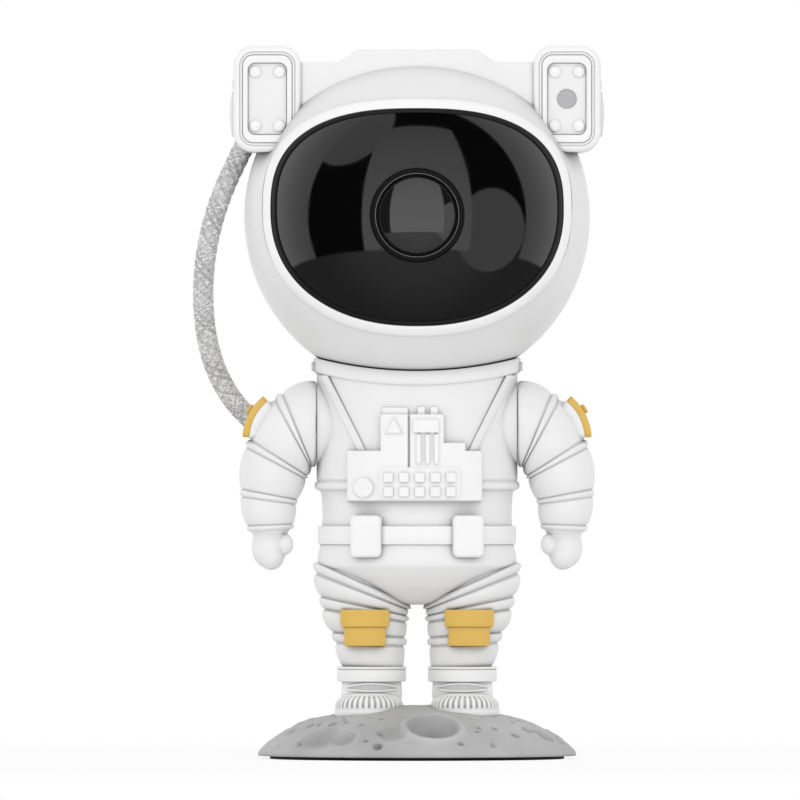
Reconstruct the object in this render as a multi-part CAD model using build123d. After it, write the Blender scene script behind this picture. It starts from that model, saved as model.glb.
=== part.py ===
from build123d import *
import math
import os

# Star projector shaped as an astronaut on a moon base, in millimetres.
# Origin: centre of the underside. +Z is up, the figure faces -Y, +X is to the viewer's right.

# Clearances
running_gap = 0.08      # radial, turning and sliding fits
seat_gap = 0.05         # between pieces that are fixed to each other
head_gap = 0.35         # helmet ball to collar
turn_gap = 0.3          # end clearance of turning pieces
round_margin = 0.1      # short of a full half round

# Base
pad_radius = 47.0
pad_thickness = 1.0
base_radius = 50.6
base_rim = 1.2
dome_top = 17.3
dome_power = 3.0
dome_shares = (0, 0.3, 0.5, 0.66, 0.8, 0.91, 1)
base_wall = 2.4
room_slope = 2.1        # run over rise of the hollow's sloping ceiling
plate_thickness = 2.0
weight_radius = 30.0
weight_thickness = 3.6
base_screw_circle = 40.0
base_screw_count = 4
crater_list = (         # x, y, mouth radius, depth
    (4.5, -37.0, 8.0, 1.9),
    (-30.0, -31.0, 5.2, 1.2),
    (-20.5, -40.0, 3.6, 0.9),
    (24.0, -36.5, 3.0, 0.8),
    (38.5, -21.0, 4.4, 1.0),
    (33.0, 22.0, 7.5, 1.7),
    (-8.0, 38.0, 6.0, 1.4),
    (-36.0, 20.0, 5.0, 1.2),
    (12.0, 43.5, 2.8, 0.7),
)

# Boots
boot_x = 14.4
boot_y = -2.5
sole_width = 22.8
sole_length = 34.0
sole_flat = 0.8         # straight run at the toe and heel
sole_bottom = 12.4
sole_top = 16.1
toe_top = 20.8
toe_inset = 0.5
toe_setback = 1.2
instep_width = 20.3
instep_length = 30.0
ankle_length = 21.1
cuff_bottom = 24.6
cuff_top = 29.4
cuff_radius = 11.1
cuff_edge = 0.9
ankle_radius = 9.6
ankle_y = 0.5
peg_radius = 5.0
peg_length = 7.0

# Suit legs: outer x, z, inner x, z in the front view, and half depth; left leg, mirrored for the right.
# Each half depth stays under half the section's length, so all ellipses lie the same way round.
leg_foot = (24.0, 29.4, 5.0, 29.4, 9.4)
leg_shin = (26.0, 34.0, 3.9, 34.0, 11.0)
leg_low_roll = (27.0, 38.7, 4.2, 37.4, 11.3)
leg_knee = (29.6, 45.2, 3.3, 41.2, 13.0)
leg_mid_roll = (30.4, 49.6, 3.2, 44.9, 13.7)
leg_thigh = (33.0, 57.4, 2.4, 46.8, 16.1)
leg_hip_roll = (32.6, 61.6, 2.4, 48.4, 16.4)
leg_roll_width = 4.1    # between the buried edges
leg_roll_proud = 0.8
leg_bore = 6.0

# Suit torso: straight chest, then sections of the waist and hips
torso_width = 32.2      # half width
torso_depth = 25.2      # half depth
chest_bottom = 84.0
waist_z = 78.0
waist_inset = 1.9
belt_line_z = 70.0
belt_line_inset = 1.6
hip_z = 62.0
hip_flare = 0.2
seat_z = 55.5
seat_inset = 8.0
crotch_z = 49.5
crotch_inset = 20.0
seat_depth_share = 0.6  # of the inset, front to back
suit_wall = 2.4
waist_roll_z = 87.1
waist_roll_width = 3.7
waist_roll_proud = 0.7
strap_top = (29.6, 124.0)
strap_foot = (17.6, 98.5)
strap_width = 2.9
strap_proud = 0.9

# Shoulders and arms: outer x, z, inner x, z in the front view, and half depth; left arm
shoulder_z = 107.0
shoulder_radius = 13.6
shoulder_face = 32.0
shoulder_wall = 4.4
arm_upper_band = (44.5, 115.9, 33.7, 93.4, 12.4)
arm_elbow_band = (54.2, 100.6, 35.4, 90.1, 10.7)
arm_fore_band = (56.5, 84.8, 38.5, 82.1, 9.0)
arm_wrist_band = (54.2, 73.3, 39.5, 74.1, 7.3)
arm_band_width = 2.4    # between the buried edges
arm_band_proud = 0.6
arm_puff = 1.5
arm_inner_puff = 0.5
palm_centre = (47.2, 67.4)
palm_radius = (5.6, 5.2, 6.6)
thumb_centre = (42.3, 68.6)
thumb_y = -1.0
thumb_radius = (2.7, 2.7, 3.6)
pin_radius = 3.0
pin_depth = 6.0
pin_flange_radius = 5.5
pin_flange_thickness = 1.6
patch_centre = (37.5, 101.7)
patch_radius = 18.3
patch_thickness = 2.2
patch_long = 14.4
patch_wide = 12.0
patch_angle = 28.0
patch_corner = 1.6
patch_border = 1.1
patch_bar = (2.2, 6.0, 0.9)
patch_bar_corner = 0.6

# Chest panel, in the front view
panel_proud = 1.8
relief_proud = 0.8
panel_lower = (-22.4, 82.4, 20.8, 98.5)
panel_upper = (-11.7, 98.0, 8.6, 110.1)
panel_tab = (-11.2, 109.6, -2.7, 112.3)
panel_stubs = ((0.0, 109.6, 2.6, 112.5), (4.1, 109.6, 6.7, 112.5))
panel_step = (8.3, 98.0, 15.5, 101.0)
panel_groove = (-2.9, 93.1, -2.3, 112.6)
dial_sign = ((-9.9, 104.0), (-4.8, 104.0), (-7.4, 108.8))
screen = (-1.3, 104.2, 6.9, 108.3)
bar_first = -0.1
bar_pitch = 2.8
bar_count = 3
bar_width = 1.3
bar_bottom = 94.2
bar_top = 103.7
key_pad = (-12.1, 82.9, 13.8, 92.8)
key_first = -9.1
key_pitch = 4.95
key_columns = 5
key_rows = (85.3, 89.9)
key_size = 3.2
knob_centre = (-17.2, 86.6)
knob_radius = 3.1

# Belt and pouches
belt_bottom = 68.5
belt_top = 74.4
belt_proud = 1.5
belt_edge = 0.5
pouch_x = 16.5
pouch_z = 71.1
pouch_width = 9.8
pouch_height = 13.4
pouch_corner = 1.4
pouch_proud = 4.2

# Knee pads
knee_x = 16.6
knee_upper = (15.9, 5.6)
knee_lower = (13.3, 6.1)
knee_joint_z = 42.2
knee_radius = 16.6
knee_step = 0.8
knee_corner = 0.8
knee_y = 1.0

# Collar and neck
collar_thickness = 4.0
collar_proud = 0.9
collar_inner = 6.0
lug_length = 9.0
lug_proud = 0.9
lug_band = (1.7, 4.1)
cup_radius = 12.0
cup_floor = 106.0
cup_base = 1.6
cup_flange_radius = 14.5
cup_flange_thickness = 2.0
magnet_radius = 9.0
magnet_gap = 0.12

# Head
head_z = 173.1
helmet_radius = 55.2
helmet_wall = 2.4
plate_radius = 13.0
head_plate_thickness = 1.5
crown_drop = 2.2
crown_skin = 2.4
crown_half = 18.9
crown_shoulder_half = 25.1
crown_shoulder_drop = 3.9
crown_front = 27.8
crown_back = 20.0
crown_arc = 102.0
helmet_screw_circle = 49.4
helmet_screw_angle = 68.6

# Visor and lens
visor_side_angle = 57.8
visor_rise = 1.9
visor_up = 32.3
visor_down = 37.1
visor_upper_power = 2.6
visor_lower_power = 2.2
visor_points = 32
rim_width = 2.6
rim_proud = 1.3
visor_proud = 0.7
visor_wall = 2.0
bezel_radius = 15.3
bezel_depth = 5.0
bezel_proud = 0.5
lens_radius = 12.35
lens_crown = 30.0
lens_proud = 0.3
barrel_wall = 2.0
barrel_rear = 11.5

# Ear boxes
ear_inset = 7.5
ear_drop = 17.7
ear_width = 21.7
ear_height = 34.1
ear_corner = 6.4
ear_front = 22.4
ear_back = 16.0
ear_wall = 2.4
ear_nose = 5.0
ear_edge = 0.8
ear_groove_inset = 2.0
ear_groove_width = 0.9
ear_groove_depth = 0.8
ear_panel_width = 12.4
ear_panel_height = 23.0
ear_panel_corner = 2.4
ear_panel_thickness = 1.4
ear_panel_recess = 0.8
rivet_x = 3.8
rivet_z = 8.6
rivet_radius = 1.75
rivet_proud = 0.8
disc_radius = 7.2
disc_drop = 4.8
disc_proud = 1.4
disc_y = -4.0
nub_rise = 4.6
nub_radius = 1.3
laser_window_radius = 3.0
laser_window_thickness = 1.1
laser_light_radius = 2.4
laser_radius = 4.5
laser_length = 18.0
laser_seat = 1.2

# Optics inside the head
frame_half = 31.0
frame_thickness = 3.0
frame_screw_x = 25.0
frame_screw_z = 25.0
boss_radius = 3.4
light_hole = 9.0
wheel_drop = 14.0
gear_module = 0.6
wheel_teeth = 72
pinion_teeth = 12
tooth_share = 0.38      # of the pitch, at the pitch circle
tooth_tip = 0.9         # in modules
tooth_root = 1.25
tooth_flank = 20.0
mesh_gap = 0.12
wheel_front = 8.4
wheel_thickness = 3.0
wheel_web = 1.4
wheel_hub_radius = 3.6
wheel_rim_width = 2.2
wheel_pin_radius = 1.5
wheel_pin_head = 2.6
wheel_pin_head_thickness = 1.0
motor_radius = 6.0
motor_length = 15.0
motor_boss_radius = 2.4
motor_edge = 0.8
shaft_radius = 0.9
shaft_depth = 8.0
lamp_tube_radius = 13.0
lamp_tube_wall = 2.0
lamp_tube_length = 10.0
condenser_thickness = 2.4
condenser_crown = 14.0
condenser_ledge = 1.2
lamp_board_thickness = 1.6
lamp_chip = (6.0, 6.0, 1.0)
sink_radius = 15.0
sink_base = 3.0
sink_length = 15.0
sink_fins = 7
sink_fin_width = 1.8

# Backpack
pack_z = 99.0
pack_width = 46.0
pack_height = 40.0
pack_corner = 6.0
pack_wall = 2.0
pack_split = 32.0
pack_back = 40.0
pack_floor = 27.6
pack_edge = 2.4
pack_boss_x = 18.2
pack_boss_z = 15.2
pack_boss_radius = 2.8
suit_screw_x = 17.0
suit_screw_z = (92.0, 105.0)
suit_screw_tip = 9.0
board_width = 30.0
board_height = 28.0
board_lift = 2.6
board_thickness = 1.6
stake_x = 6.0
stake_z = 11.0
stake_radius = 1.0
switch_size = 6.0
switch_height = 2.6
plunger_radius = 1.5
plunger_height = 0.6
button_z = 91.5
button_pitch = 12.0
button_radius = 4.0
button_flange = 4.9
button_flange_thickness = 1.0
button_travel = 0.6
button_proud = 1.2
button_dish = 24.0      # radius of the hollow in the cap
button_dish_depth = 0.4
vent_count = 5
vent_z = 107.0
vent_pitch = 3.2
vent_length = 24.0
vent_width = 1.4
socket_width = 9.0
socket_height = 3.2
socket_length = 7.4
socket_gap = 0.15
socket_wall = 0.4
socket_inset = 0.5
socket_tongue = (6.6, 0.7)

# Hose
hose_radius = 3.25
hose_hole_gap = 0.2
hose_corner_share = 0.45    # of the shorter run beside each corner
hose_points = (
    (-52.9, 2.0, 200.6),
    (-57.6, 2.9, 191.0),
    (-62.2, 4.2, 181.2),
    (-65.8, 6.0, 170.2),
    (-68.0, 8.4, 158.6),
    (-68.6, 11.0, 146.8),
    (-67.6, 13.8, 135.2),
    (-64.6, 16.8, 124.0),
    (-58.6, 20.0, 113.4),
    (-50.2, 22.8, 105.6),
    (-40.0, 25.0, 100.6),
    (-29.2, 26.0, 98.5),
    (-19.2, 26.0, 98.5),
)
gland_flange_radius = 5.4
gland_flange_thickness = 1.6
gland_radius = 4.3
gland_depth = 4.2

# Fasteners
screw_radius = 1.5
screw_head_radius = 2.7
screw_head_height = 2.0
small_screw_radius = 1.2
small_screw_head_radius = 2.3
small_screw_head_height = 1.2
screw_boss_radius = 3.5
small_screw = (small_screw_radius, small_screw_head_radius, small_screw_head_height)

# Worked out from the sizes above
plate_top = pad_thickness + plate_thickness
base_ceiling = sole_bottom - base_wall
visor_half = helmet_radius * math.sin(math.radians(visor_side_angle))
ear_x = helmet_radius - ear_inset
ear_z = head_z + helmet_radius - ear_drop
crown_top = head_z + helmet_radius - crown_drop
crown_cut = crown_top - crown_skin
wheel_z = head_z - wheel_drop
wheel_pitch_radius = gear_module * wheel_teeth / 2
pinion_pitch_radius = gear_module * pinion_teeth / 2
motor_x = -(wheel_pitch_radius + pinion_pitch_radius + mesh_gap)
frame_front = -frame_thickness / 2
frame_rear = frame_thickness / 2
collar_outer = helmet_radius + head_gap + collar_thickness
far = 300.0


# Helpers


def front_plane(y):
    return Plane(origin=(0, y, 0), x_dir=(1, 0, 0), z_dir=(0, -1, 0))


# Sketch in front-view coordinates (x, z), given depth from y0 back to y1
def prism(sketch, y0, y1):
    return extrude(front_plane(y1) * sketch, amount=y1 - y0)


def rod(x, z, radius, y0, y1):
    return prism(Pos(x, z) * Circle(radius), y0, y1)


def post(x, y, radius, z0, z1):
    return Pos(x, y, z0) * extrude(Circle(radius), amount=z1 - z0)


def bar_along_x(y, z, radius, x0, x1):
    plane = Plane(origin=(x0, y, z), x_dir=(0, 1, 0), z_dir=(1, 0, 0))
    return extrude(plane * Circle(radius), amount=x1 - x0)


def rectangle(x0, z0, x1, z1):
    return Pos((x0 + x1) / 2, (z0 + z1) / 2) * Rectangle(x1 - x0, z1 - z0)


# Sphere about the head's centre, with its seam at the back, clear of the split between front and rear
def ball(radius):
    return Pos(0, 0, head_z) * Rot(0, 0, 90) * Sphere(radius)


# Sphere with its poles on the X axis, for caps that face sideways
def side_ball(x, y, z, radius):
    return Pos(x, y, z) * Rot(0, 90, 0) * Sphere(radius)


def mirrored(shape):
    return mirror(shape, about=Plane.YZ)


def front_half():
    return Pos(0, -far / 2, far / 2) * Box(far, far, 2 * far)


def rear_half():
    return Pos(0, far / 2, far / 2) * Box(far, far, 2 * far)


def oval(half_width, z0, z1):
    half_depth = half_width - (torso_width - torso_depth)
    return Pos(0, 0, z0) * extrude(Ellipse(half_width, half_depth), amount=z1 - z0)


def screw_up(x, y, seat, tip, radius, head_radius, head_height):
    return post(x, y, head_radius, seat - head_height, seat) + post(x, y, radius, seat, tip)


def screw_back(x, z, tip, seat, radius, head_radius, head_height):
    return rod(x, z, radius, tip, seat) + rod(x, z, head_radius, seat, seat + head_height)


# Rounded roll about an ellipse: its edges dive as deep as its crest stands proud
def roll(plane, half_length, half_depth, width, proud):
    faces = []
    for along, grow in ((-width / 2, -proud), (0, proud), (width / 2, -proud)):
        faces.append(plane.offset(along) * Ellipse(half_length + grow, half_depth + grow))
    return loft(faces)


# Limbs, as sections between two points of the front view


def limb_plane(section):
    outer_x, outer_z, inner_x, inner_z, depth = section
    centre = (-(outer_x + inner_x) / 2, 0, (outer_z + inner_z) / 2)
    along = (inner_x - outer_x, 0, outer_z - inner_z)
    return Plane(origin=centre, x_dir=along, z_dir=(-along[2], 0, along[0]))


def limb_half_length(section):
    return math.hypot(section[0] - section[2], section[1] - section[3]) / 2


def limb_face(section):
    return limb_plane(section) * Ellipse(limb_half_length(section), section[4])


def limb_band(section, width, proud):
    return roll(limb_plane(section), limb_half_length(section), section[4], width, proud)


# Section halfway between two others, swollen at its outer and inner ends
def limb_between(a, b, outer_puff, inner_puff):
    outer = ((a[0] + b[0]) / 2, (a[1] + b[1]) / 2)
    inner = ((a[2] + b[2]) / 2, (a[3] + b[3]) / 2)
    long = math.dist(outer, inner)
    way = ((outer[0] - inner[0]) / long, (outer[1] - inner[1]) / long)
    return (
        outer[0] + way[0] * outer_puff,
        outer[1] + way[1] * outer_puff,
        inner[0] - way[0] * inner_puff,
        inner[1] - way[1] * inner_puff,
        (a[4] + b[4]) / 2 + (outer_puff + inner_puff) / 2,
    )


# Base


def dome_height(radius):
    edge = pad_thickness + base_rim
    return edge + (dome_top - edge) * (1 - (radius / base_radius) ** dome_power)


def sole_outline(grow):
    corner = sole_width / 2 - sole_flat / 2 + grow
    return RectangleRounded(sole_width + 2 * grow, sole_length + 2 * grow, corner)


def boot_places():
    return (-boot_x, boot_x)


def base_screw_places():
    return PolarLocations(base_screw_circle, base_screw_count, start_angle=45)


def make_foot_pad():
    return post(0, 0, pad_radius, 0, pad_thickness)


def make_base_plate():
    plate = post(0, 0, base_radius - base_wall - seat_gap, pad_thickness, plate_top)
    for place in base_screw_places():
        x, y = place.position.X, place.position.Y
        plate -= post(x, y, small_screw_radius + seat_gap, 0, far)
        plate -= post(x, y, small_screw_head_radius + seat_gap, 0, pad_thickness + small_screw_head_height)
    return plate


def make_base_weight():
    return post(0, 0, weight_radius, plate_top, plate_top + weight_thickness)


def base_screw_tip():
    return plate_top + base_wall


def make_base_screws():
    screws = []
    for place in base_screw_places():
        seat = pad_thickness + small_screw_head_height
        screws.append(screw_up(place.position.X, place.position.Y, seat, base_screw_tip(), *small_screw))
    return screws


def make_crater(x, y, mouth, depth):
    bowl = (mouth ** 2 + depth ** 2) / (2 * depth)
    radius = math.hypot(x, y)
    fall = -dome_power * (dome_top - pad_thickness - base_rim) / base_radius
    slope = fall * (radius / base_radius) ** (dome_power - 1)
    normal = Vector(-slope * x / radius, -slope * y / radius, 1).normalized()
    centre = Vector(x, y, dome_height(radius)) + normal * (bowl - depth)
    return Pos(*centre) * Sphere(bowl)


def make_moon_base():
    radii = [share * base_radius for share in dome_shares]
    curve = Spline(*[(radius, dome_height(radius)) for radius in radii])
    foot = Polyline(curve @ 1, (base_radius, pad_thickness), (0, pad_thickness), curve @ 0)
    shell = revolve(Plane.XZ * make_face([curve, foot]), axis=Axis.Z)
    skirt = base_radius - base_wall
    slope_top = skirt - (base_ceiling - plate_top) * room_slope
    corners = [(0, 0), (skirt, 0), (skirt, plate_top), (slope_top, base_ceiling), (0, base_ceiling)]
    room = Polyline(*corners, close=True)
    shell -= revolve(Plane.XZ * make_face(room), axis=Axis.Z)
    for crater in crater_list:
        shell -= make_crater(*crater)
    boss_limit = post(0, 0, base_radius - base_wall / 2, 0, dome_height(base_screw_circle) - base_wall / 2)
    for place in base_screw_places():
        x, y = place.position.X, place.position.Y
        shell += post(x, y, 2 * small_screw_radius, plate_top, base_ceiling) & boss_limit
        shell -= post(x, y, small_screw_radius + seat_gap, 0, base_screw_tip() + turn_gap)
    for x in boot_places():
        shell -= Pos(x, boot_y, sole_bottom) * extrude(sole_outline(seat_gap), amount=far)
        shell -= post(x, ankle_y, screw_radius + seat_gap, 0, far)
    return shell


# Boots


def make_boot(x):
    sole = Pos(x, boot_y, sole_bottom) * extrude(sole_outline(0), amount=sole_top - sole_bottom)
    low = Pos(x, boot_y, sole_top) * sole_outline(-toe_inset)
    instep = RectangleRounded(instep_width, instep_length, ankle_radius)
    ankle = RectangleRounded(2 * ankle_radius, ankle_length, ankle_radius - round_margin)
    mid = Pos(x, boot_y + toe_setback, toe_top) * instep
    high = Pos(x, ankle_y, cuff_bottom) * ankle
    upper = loft([low, mid, high])
    cuff = fillet(post(x, ankle_y, cuff_radius, cuff_bottom, cuff_top).edges(), cuff_edge)
    boot = sole + upper + cuff + post(x, ankle_y, peg_radius, cuff_top, cuff_top + peg_length)
    return boot - post(x, ankle_y, screw_radius + seat_gap, 0, cuff_top + turn_gap)


def make_leg_screws():
    sizes = (screw_radius, screw_head_radius, screw_head_height)
    return [screw_up(x, ankle_y, base_ceiling, cuff_top, *sizes) for x in boot_places()]


# Suit


def torso_face(z, inset):
    return Pos(0, 0, z) * Ellipse(torso_width - inset, torso_depth - inset)


def seat_face(z, inset):
    return Pos(0, 0, z) * Ellipse(torso_width - inset, torso_depth - inset * seat_depth_share)


def chest_and_waist(inset):
    waist = loft([
        torso_face(chest_bottom, inset),
        torso_face(waist_z, waist_inset + inset),
        torso_face(belt_line_z, belt_line_inset + inset),
    ])
    return waist + oval(torso_width - inset, chest_bottom, head_z)


def hips():
    middle = (belt_line_z + hip_z) / 2
    flare = loft([
        torso_face(belt_line_z, belt_line_inset),
        torso_face(middle, belt_line_inset / 2),
        torso_face(hip_z, -hip_flare),
    ])
    seat = loft([
        torso_face(hip_z, -hip_flare),
        seat_face(seat_z, seat_inset),
        seat_face(crotch_z, crotch_inset),
    ])
    return flare + seat


def make_left_leg():
    shin = loft([limb_face(leg_foot), limb_face(leg_shin), limb_face(leg_low_roll)])
    knee = loft([limb_face(leg_low_roll), limb_face(leg_knee), limb_face(leg_mid_roll)])
    thigh = loft([limb_face(leg_mid_roll), limb_face(leg_thigh), limb_face(leg_hip_roll)])
    leg = shin + knee + thigh
    for section in (leg_low_roll, leg_mid_roll, leg_hip_roll):
        leg += limb_band(section, leg_roll_width, leg_roll_proud)
    return leg


def strap_outline(side):
    top, foot = strap_top, strap_foot
    half = strap_width / 2
    upper = [(side * (top[0] - half), top[1]), (side * (top[0] + half), top[1])]
    lower = [(side * (foot[0] + half), foot[1]), (side * (foot[0] - half), foot[1])]
    return make_face(Polyline(*upper, *lower, close=True))


def make_strap(side):
    reach = prism(strap_outline(side), -2 * torso_depth, 0)
    return reach & oval(torso_width + strap_proud, 0, far)


def make_shoulder(side):
    ends = sorted((side * (shoulder_face - shoulder_wall), side * shoulder_face))
    return bar_along_x(0, shoulder_z, shoulder_radius - turn_gap, *ends)


def suit_screw_places():
    return [(side * suit_screw_x, z) for z in suit_screw_z for side in (-1, 1)]


# Whole outside of the suit, with nothing hollowed out
def make_suit_outside():
    leg = make_left_leg()
    body = chest_and_waist(0) + hips() + leg + mirrored(leg)
    waist = Plane(origin=(0, 0, waist_roll_z))
    body += roll(waist, torso_width, torso_depth, waist_roll_width, waist_roll_proud)
    for side in (-1, 1):
        body += make_strap(side) + make_shoulder(side)
    return body - ball(collar_outer + seat_gap)


def make_suit(body):
    body = body - (chest_and_waist(suit_wall) - ball(collar_outer + seat_gap + suit_wall))
    for x in boot_places():
        body -= post(x, ankle_y, leg_bore, cuff_top + peg_length, belt_line_z + 1)
        body -= post(x, ankle_y, peg_radius + seat_gap, 0, cuff_top + peg_length + turn_gap)
    within = oval(torso_width - suit_wall / 2, 0, far)
    for x, z in suit_screw_places():
        body += rod(x, z, screw_boss_radius, -torso_depth, torso_depth) & within
        body -= rod(x, z, screw_radius + seat_gap, -suit_screw_tip - turn_gap, far)
    for side in (-1, 1):
        body += make_shoulder(side)
        body -= bar_along_x(0, shoulder_z, pin_radius + running_gap, *sorted((0, side * far)))
    return body - post(0, 0, cup_radius + seat_gap, cup_floor, far)


# Neck


def make_collar():
    half = torso_width + collar_proud
    bore = helmet_radius + head_gap
    ring = oval(half, cup_floor, head_z) - oval(torso_width - collar_inner, 0, far)
    lug_layer = ball(bore + lug_band[1]) - ball(bore + lug_band[0])
    for side in (-1, 1):
        middle = half + (lug_proud - collar_inner) / 2
        lug = Pos(side * middle, 0, head_z / 2) * Box(collar_inner + lug_proud, lug_length, head_z)
        ring += lug & lug_layer
    return ring & (ball(collar_outer) - ball(bore))


def cup_flange_top():
    wall = collar_outer + seat_gap + suit_wall
    return head_z - math.sqrt(wall ** 2 - cup_radius ** 2) - seat_gap


def make_magnet_cup():
    cup = post(0, 0, cup_radius, cup_floor, head_z)
    top = cup_flange_top()
    cup += post(0, 0, cup_flange_radius, top - cup_flange_thickness, top)
    cup -= post(0, 0, magnet_radius + running_gap, cup_floor + cup_base, head_z + 1)
    return cup - ball(helmet_radius + head_gap)


def make_neck_magnet():
    disc = post(0, 0, magnet_radius, cup_floor + cup_base + running_gap, head_z)
    return disc - ball(helmet_radius + magnet_gap)


# Chest, belt and knees


def on_chest(sketch, proud, suit):
    reach = prism(sketch, -2 * torso_depth, -torso_depth / 3)
    return (reach & oval(torso_width + proud, 0, far)) - suit


def make_chest_panel(suit):
    plates = [panel_lower, panel_upper, panel_tab, panel_step, *panel_stubs]
    outline = Sketch() + [rectangle(*plate) for plate in plates]
    panel = on_chest(outline, panel_proud, suit)
    relief = Sketch() + make_face(Polyline(*dial_sign, close=True))
    relief += rectangle(*screen)
    for number in range(bar_count):
        x = bar_first + number * bar_pitch
        relief += rectangle(x - bar_width / 2, bar_bottom, x + bar_width / 2, bar_top)
    relief += rectangle(*key_pad)
    panel += on_chest(relief, panel_proud + relief_proud, suit)
    keys = Sketch() + Pos(*knob_centre) * Circle(knob_radius)
    for column in range(key_columns):
        for z in key_rows:
            keys += Pos(key_first + column * key_pitch, z) * Rectangle(key_size, key_size)
    panel += on_chest(keys, panel_proud + 2 * relief_proud, suit)
    groove = prism(rectangle(*panel_groove), -2 * torso_depth, 0)
    return panel - (groove - oval(torso_width + panel_proud - relief_proud, 0, far))


def make_belt(suit):
    belt = oval(torso_width - belt_line_inset + belt_proud, belt_bottom, belt_top)
    return fillet(belt.edges(), belt_edge) - suit - oval(torso_width / 2, 0, far)


def make_pouch(side, suit, belt):
    outline = Pos(side * pouch_x, pouch_z) * RectangleRounded(pouch_width, pouch_height, pouch_corner)
    block = prism(outline, -2 * torso_depth, -torso_depth / 3)
    return (block & oval(torso_width - belt_line_inset + pouch_proud, 0, far)) - belt - suit


def make_knee_pad(side, suit):
    x = side * knee_x
    upper = Pos(x, knee_joint_z + knee_upper[1] / 2) * RectangleRounded(*knee_upper, knee_corner)
    lower = Pos(x, knee_joint_z - knee_lower[1] / 2) * RectangleRounded(*knee_lower, knee_corner)
    lower += Pos(x, knee_joint_z) * Rectangle(knee_lower[0], knee_lower[1] / 2)
    thick = prism(upper, -2 * torso_depth, 0) & post(x, knee_y, knee_radius, 0, far)
    thin = prism(lower, -2 * torso_depth, 0) & post(x, knee_y, knee_radius - knee_step, 0, far)
    return (thick + thin) - suit


# Arms


def arm_joint_section():
    x = shoulder_face + turn_gap
    return (x, shoulder_z + shoulder_radius, x, shoulder_z - shoulder_radius, shoulder_radius)


def patch_plane():
    way = math.radians(patch_angle)
    return Plane(origin=(-patch_centre[0], 0, patch_centre[1]), x_dir=(0, 1, 0),
                 z_dir=(-math.cos(way), 0, math.sin(way)))


def patch_shell(inner, outer):
    x, z = -patch_centre[0], patch_centre[1]
    return rod(x, z, outer, -torso_depth, torso_depth) - rod(x, z, inner, -torso_depth, torso_depth)


def patch_block(grow):
    outline = RectangleRounded(patch_wide + 2 * grow, patch_long + 2 * grow, patch_corner + grow)
    return extrude(patch_plane() * outline, amount=2 * patch_radius)


def make_left_arm():
    stations = (arm_joint_section(), arm_upper_band, arm_elbow_band, arm_fore_band, arm_wrist_band)
    pieces = []
    for a, b in zip(stations, stations[1:]):
        middle = limb_between(a, b, arm_puff, arm_inner_puff)
        pieces.append(loft([limb_face(a), limb_face(middle), limb_face(b)]))
        pieces.append(limb_band(b, arm_band_width, arm_band_proud))
    arm = Part() + pieces
    arm += Pos(-palm_centre[0], 0, palm_centre[1]) * scale(Sphere(1), by=palm_radius)
    arm += Pos(-thumb_centre[0], thumb_y, thumb_centre[1]) * scale(Sphere(1), by=thumb_radius)
    pad_top = patch_radius - patch_thickness
    arm += patch_block(patch_border) & patch_shell(patch_radius / 2, pad_top)
    joint_x = shoulder_face + turn_gap
    arm -= Pos(-joint_x + far / 2, 0, shoulder_z) * Box(far, far, far)
    return arm - bar_along_x(0, shoulder_z, pin_radius + seat_gap, -joint_x - pin_depth - turn_gap, 0)


def make_left_patch(arm):
    patch = patch_block(0) & patch_shell(patch_radius - patch_thickness + seat_gap, patch_radius)
    bar_outline = Pos(0, patch_long / 5) * RectangleRounded(patch_bar[1], patch_bar[0], patch_bar_corner)
    bar = extrude(patch_plane() * bar_outline, amount=2 * patch_radius)
    bar &= patch_shell(patch_radius - patch_thickness / 2, patch_radius + patch_bar[2])
    return patch + bar - arm


def make_left_pin():
    inner = shoulder_face - shoulder_wall - turn_gap
    pin = bar_along_x(0, shoulder_z, pin_radius, -shoulder_face - turn_gap - pin_depth, -inner)
    return pin + bar_along_x(0, shoulder_z, pin_flange_radius, -inner, -inner + pin_flange_thickness)


# Backpack


def pack_outline(inset):
    return Pos(0, pack_z) * RectangleRounded(
        pack_width - 2 * inset, pack_height - 2 * inset, pack_corner - inset)


def pack_boss_places():
    return [(sx * pack_boss_x, pack_z + sz * pack_boss_z) for sx in (-1, 1) for sz in (-1, 1)]


def stake_places():
    return [(sx * stake_x, pack_z + sz * stake_z) for sx in (-1, 1) for sz in (-1, 1)]


def board_face():
    return pack_floor + board_lift


def board_back():
    return board_face() + board_thickness


def socket_middle():
    return board_back() + socket_height / 2


def socket_outline(gap):
    corner = socket_height / 2 + gap - round_margin
    outline = RectangleRounded(socket_width + 2 * gap, socket_height + 2 * gap, corner)
    return Pos(0, socket_middle()) * outline


def make_housing(suit):
    housing = prism(pack_outline(0), torso_depth / 2, pack_split)
    housing = housing - suit - ball(collar_outer + seat_gap)
    housing -= prism(pack_outline(pack_wall), pack_floor, far)
    for x, z in pack_boss_places():
        housing += rod(x, z, pack_boss_radius, pack_floor, pack_split)
        housing -= rod(x, z, small_screw_radius + seat_gap, pack_floor, far)
    for x, z in stake_places():
        housing += rod(x, z, 2 * stake_radius, pack_floor, board_face())
        housing += rod(x, z, stake_radius, pack_floor, board_back() + stake_radius / 2)
    for x, z in suit_screw_places():
        housing -= rod(x, z, screw_radius + seat_gap, 0, far)
    gland_x = -pack_width / 2 + gland_depth
    housing -= bar_along_x(hose_points[-1][1], hose_points[-1][2], gland_radius + seat_gap, -far, gland_x)
    return housing - extrude(socket_outline(socket_gap), amount=pack_z)


def button_places():
    return [((number - 1) * button_pitch, button_z) for number in range(3)]


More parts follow.
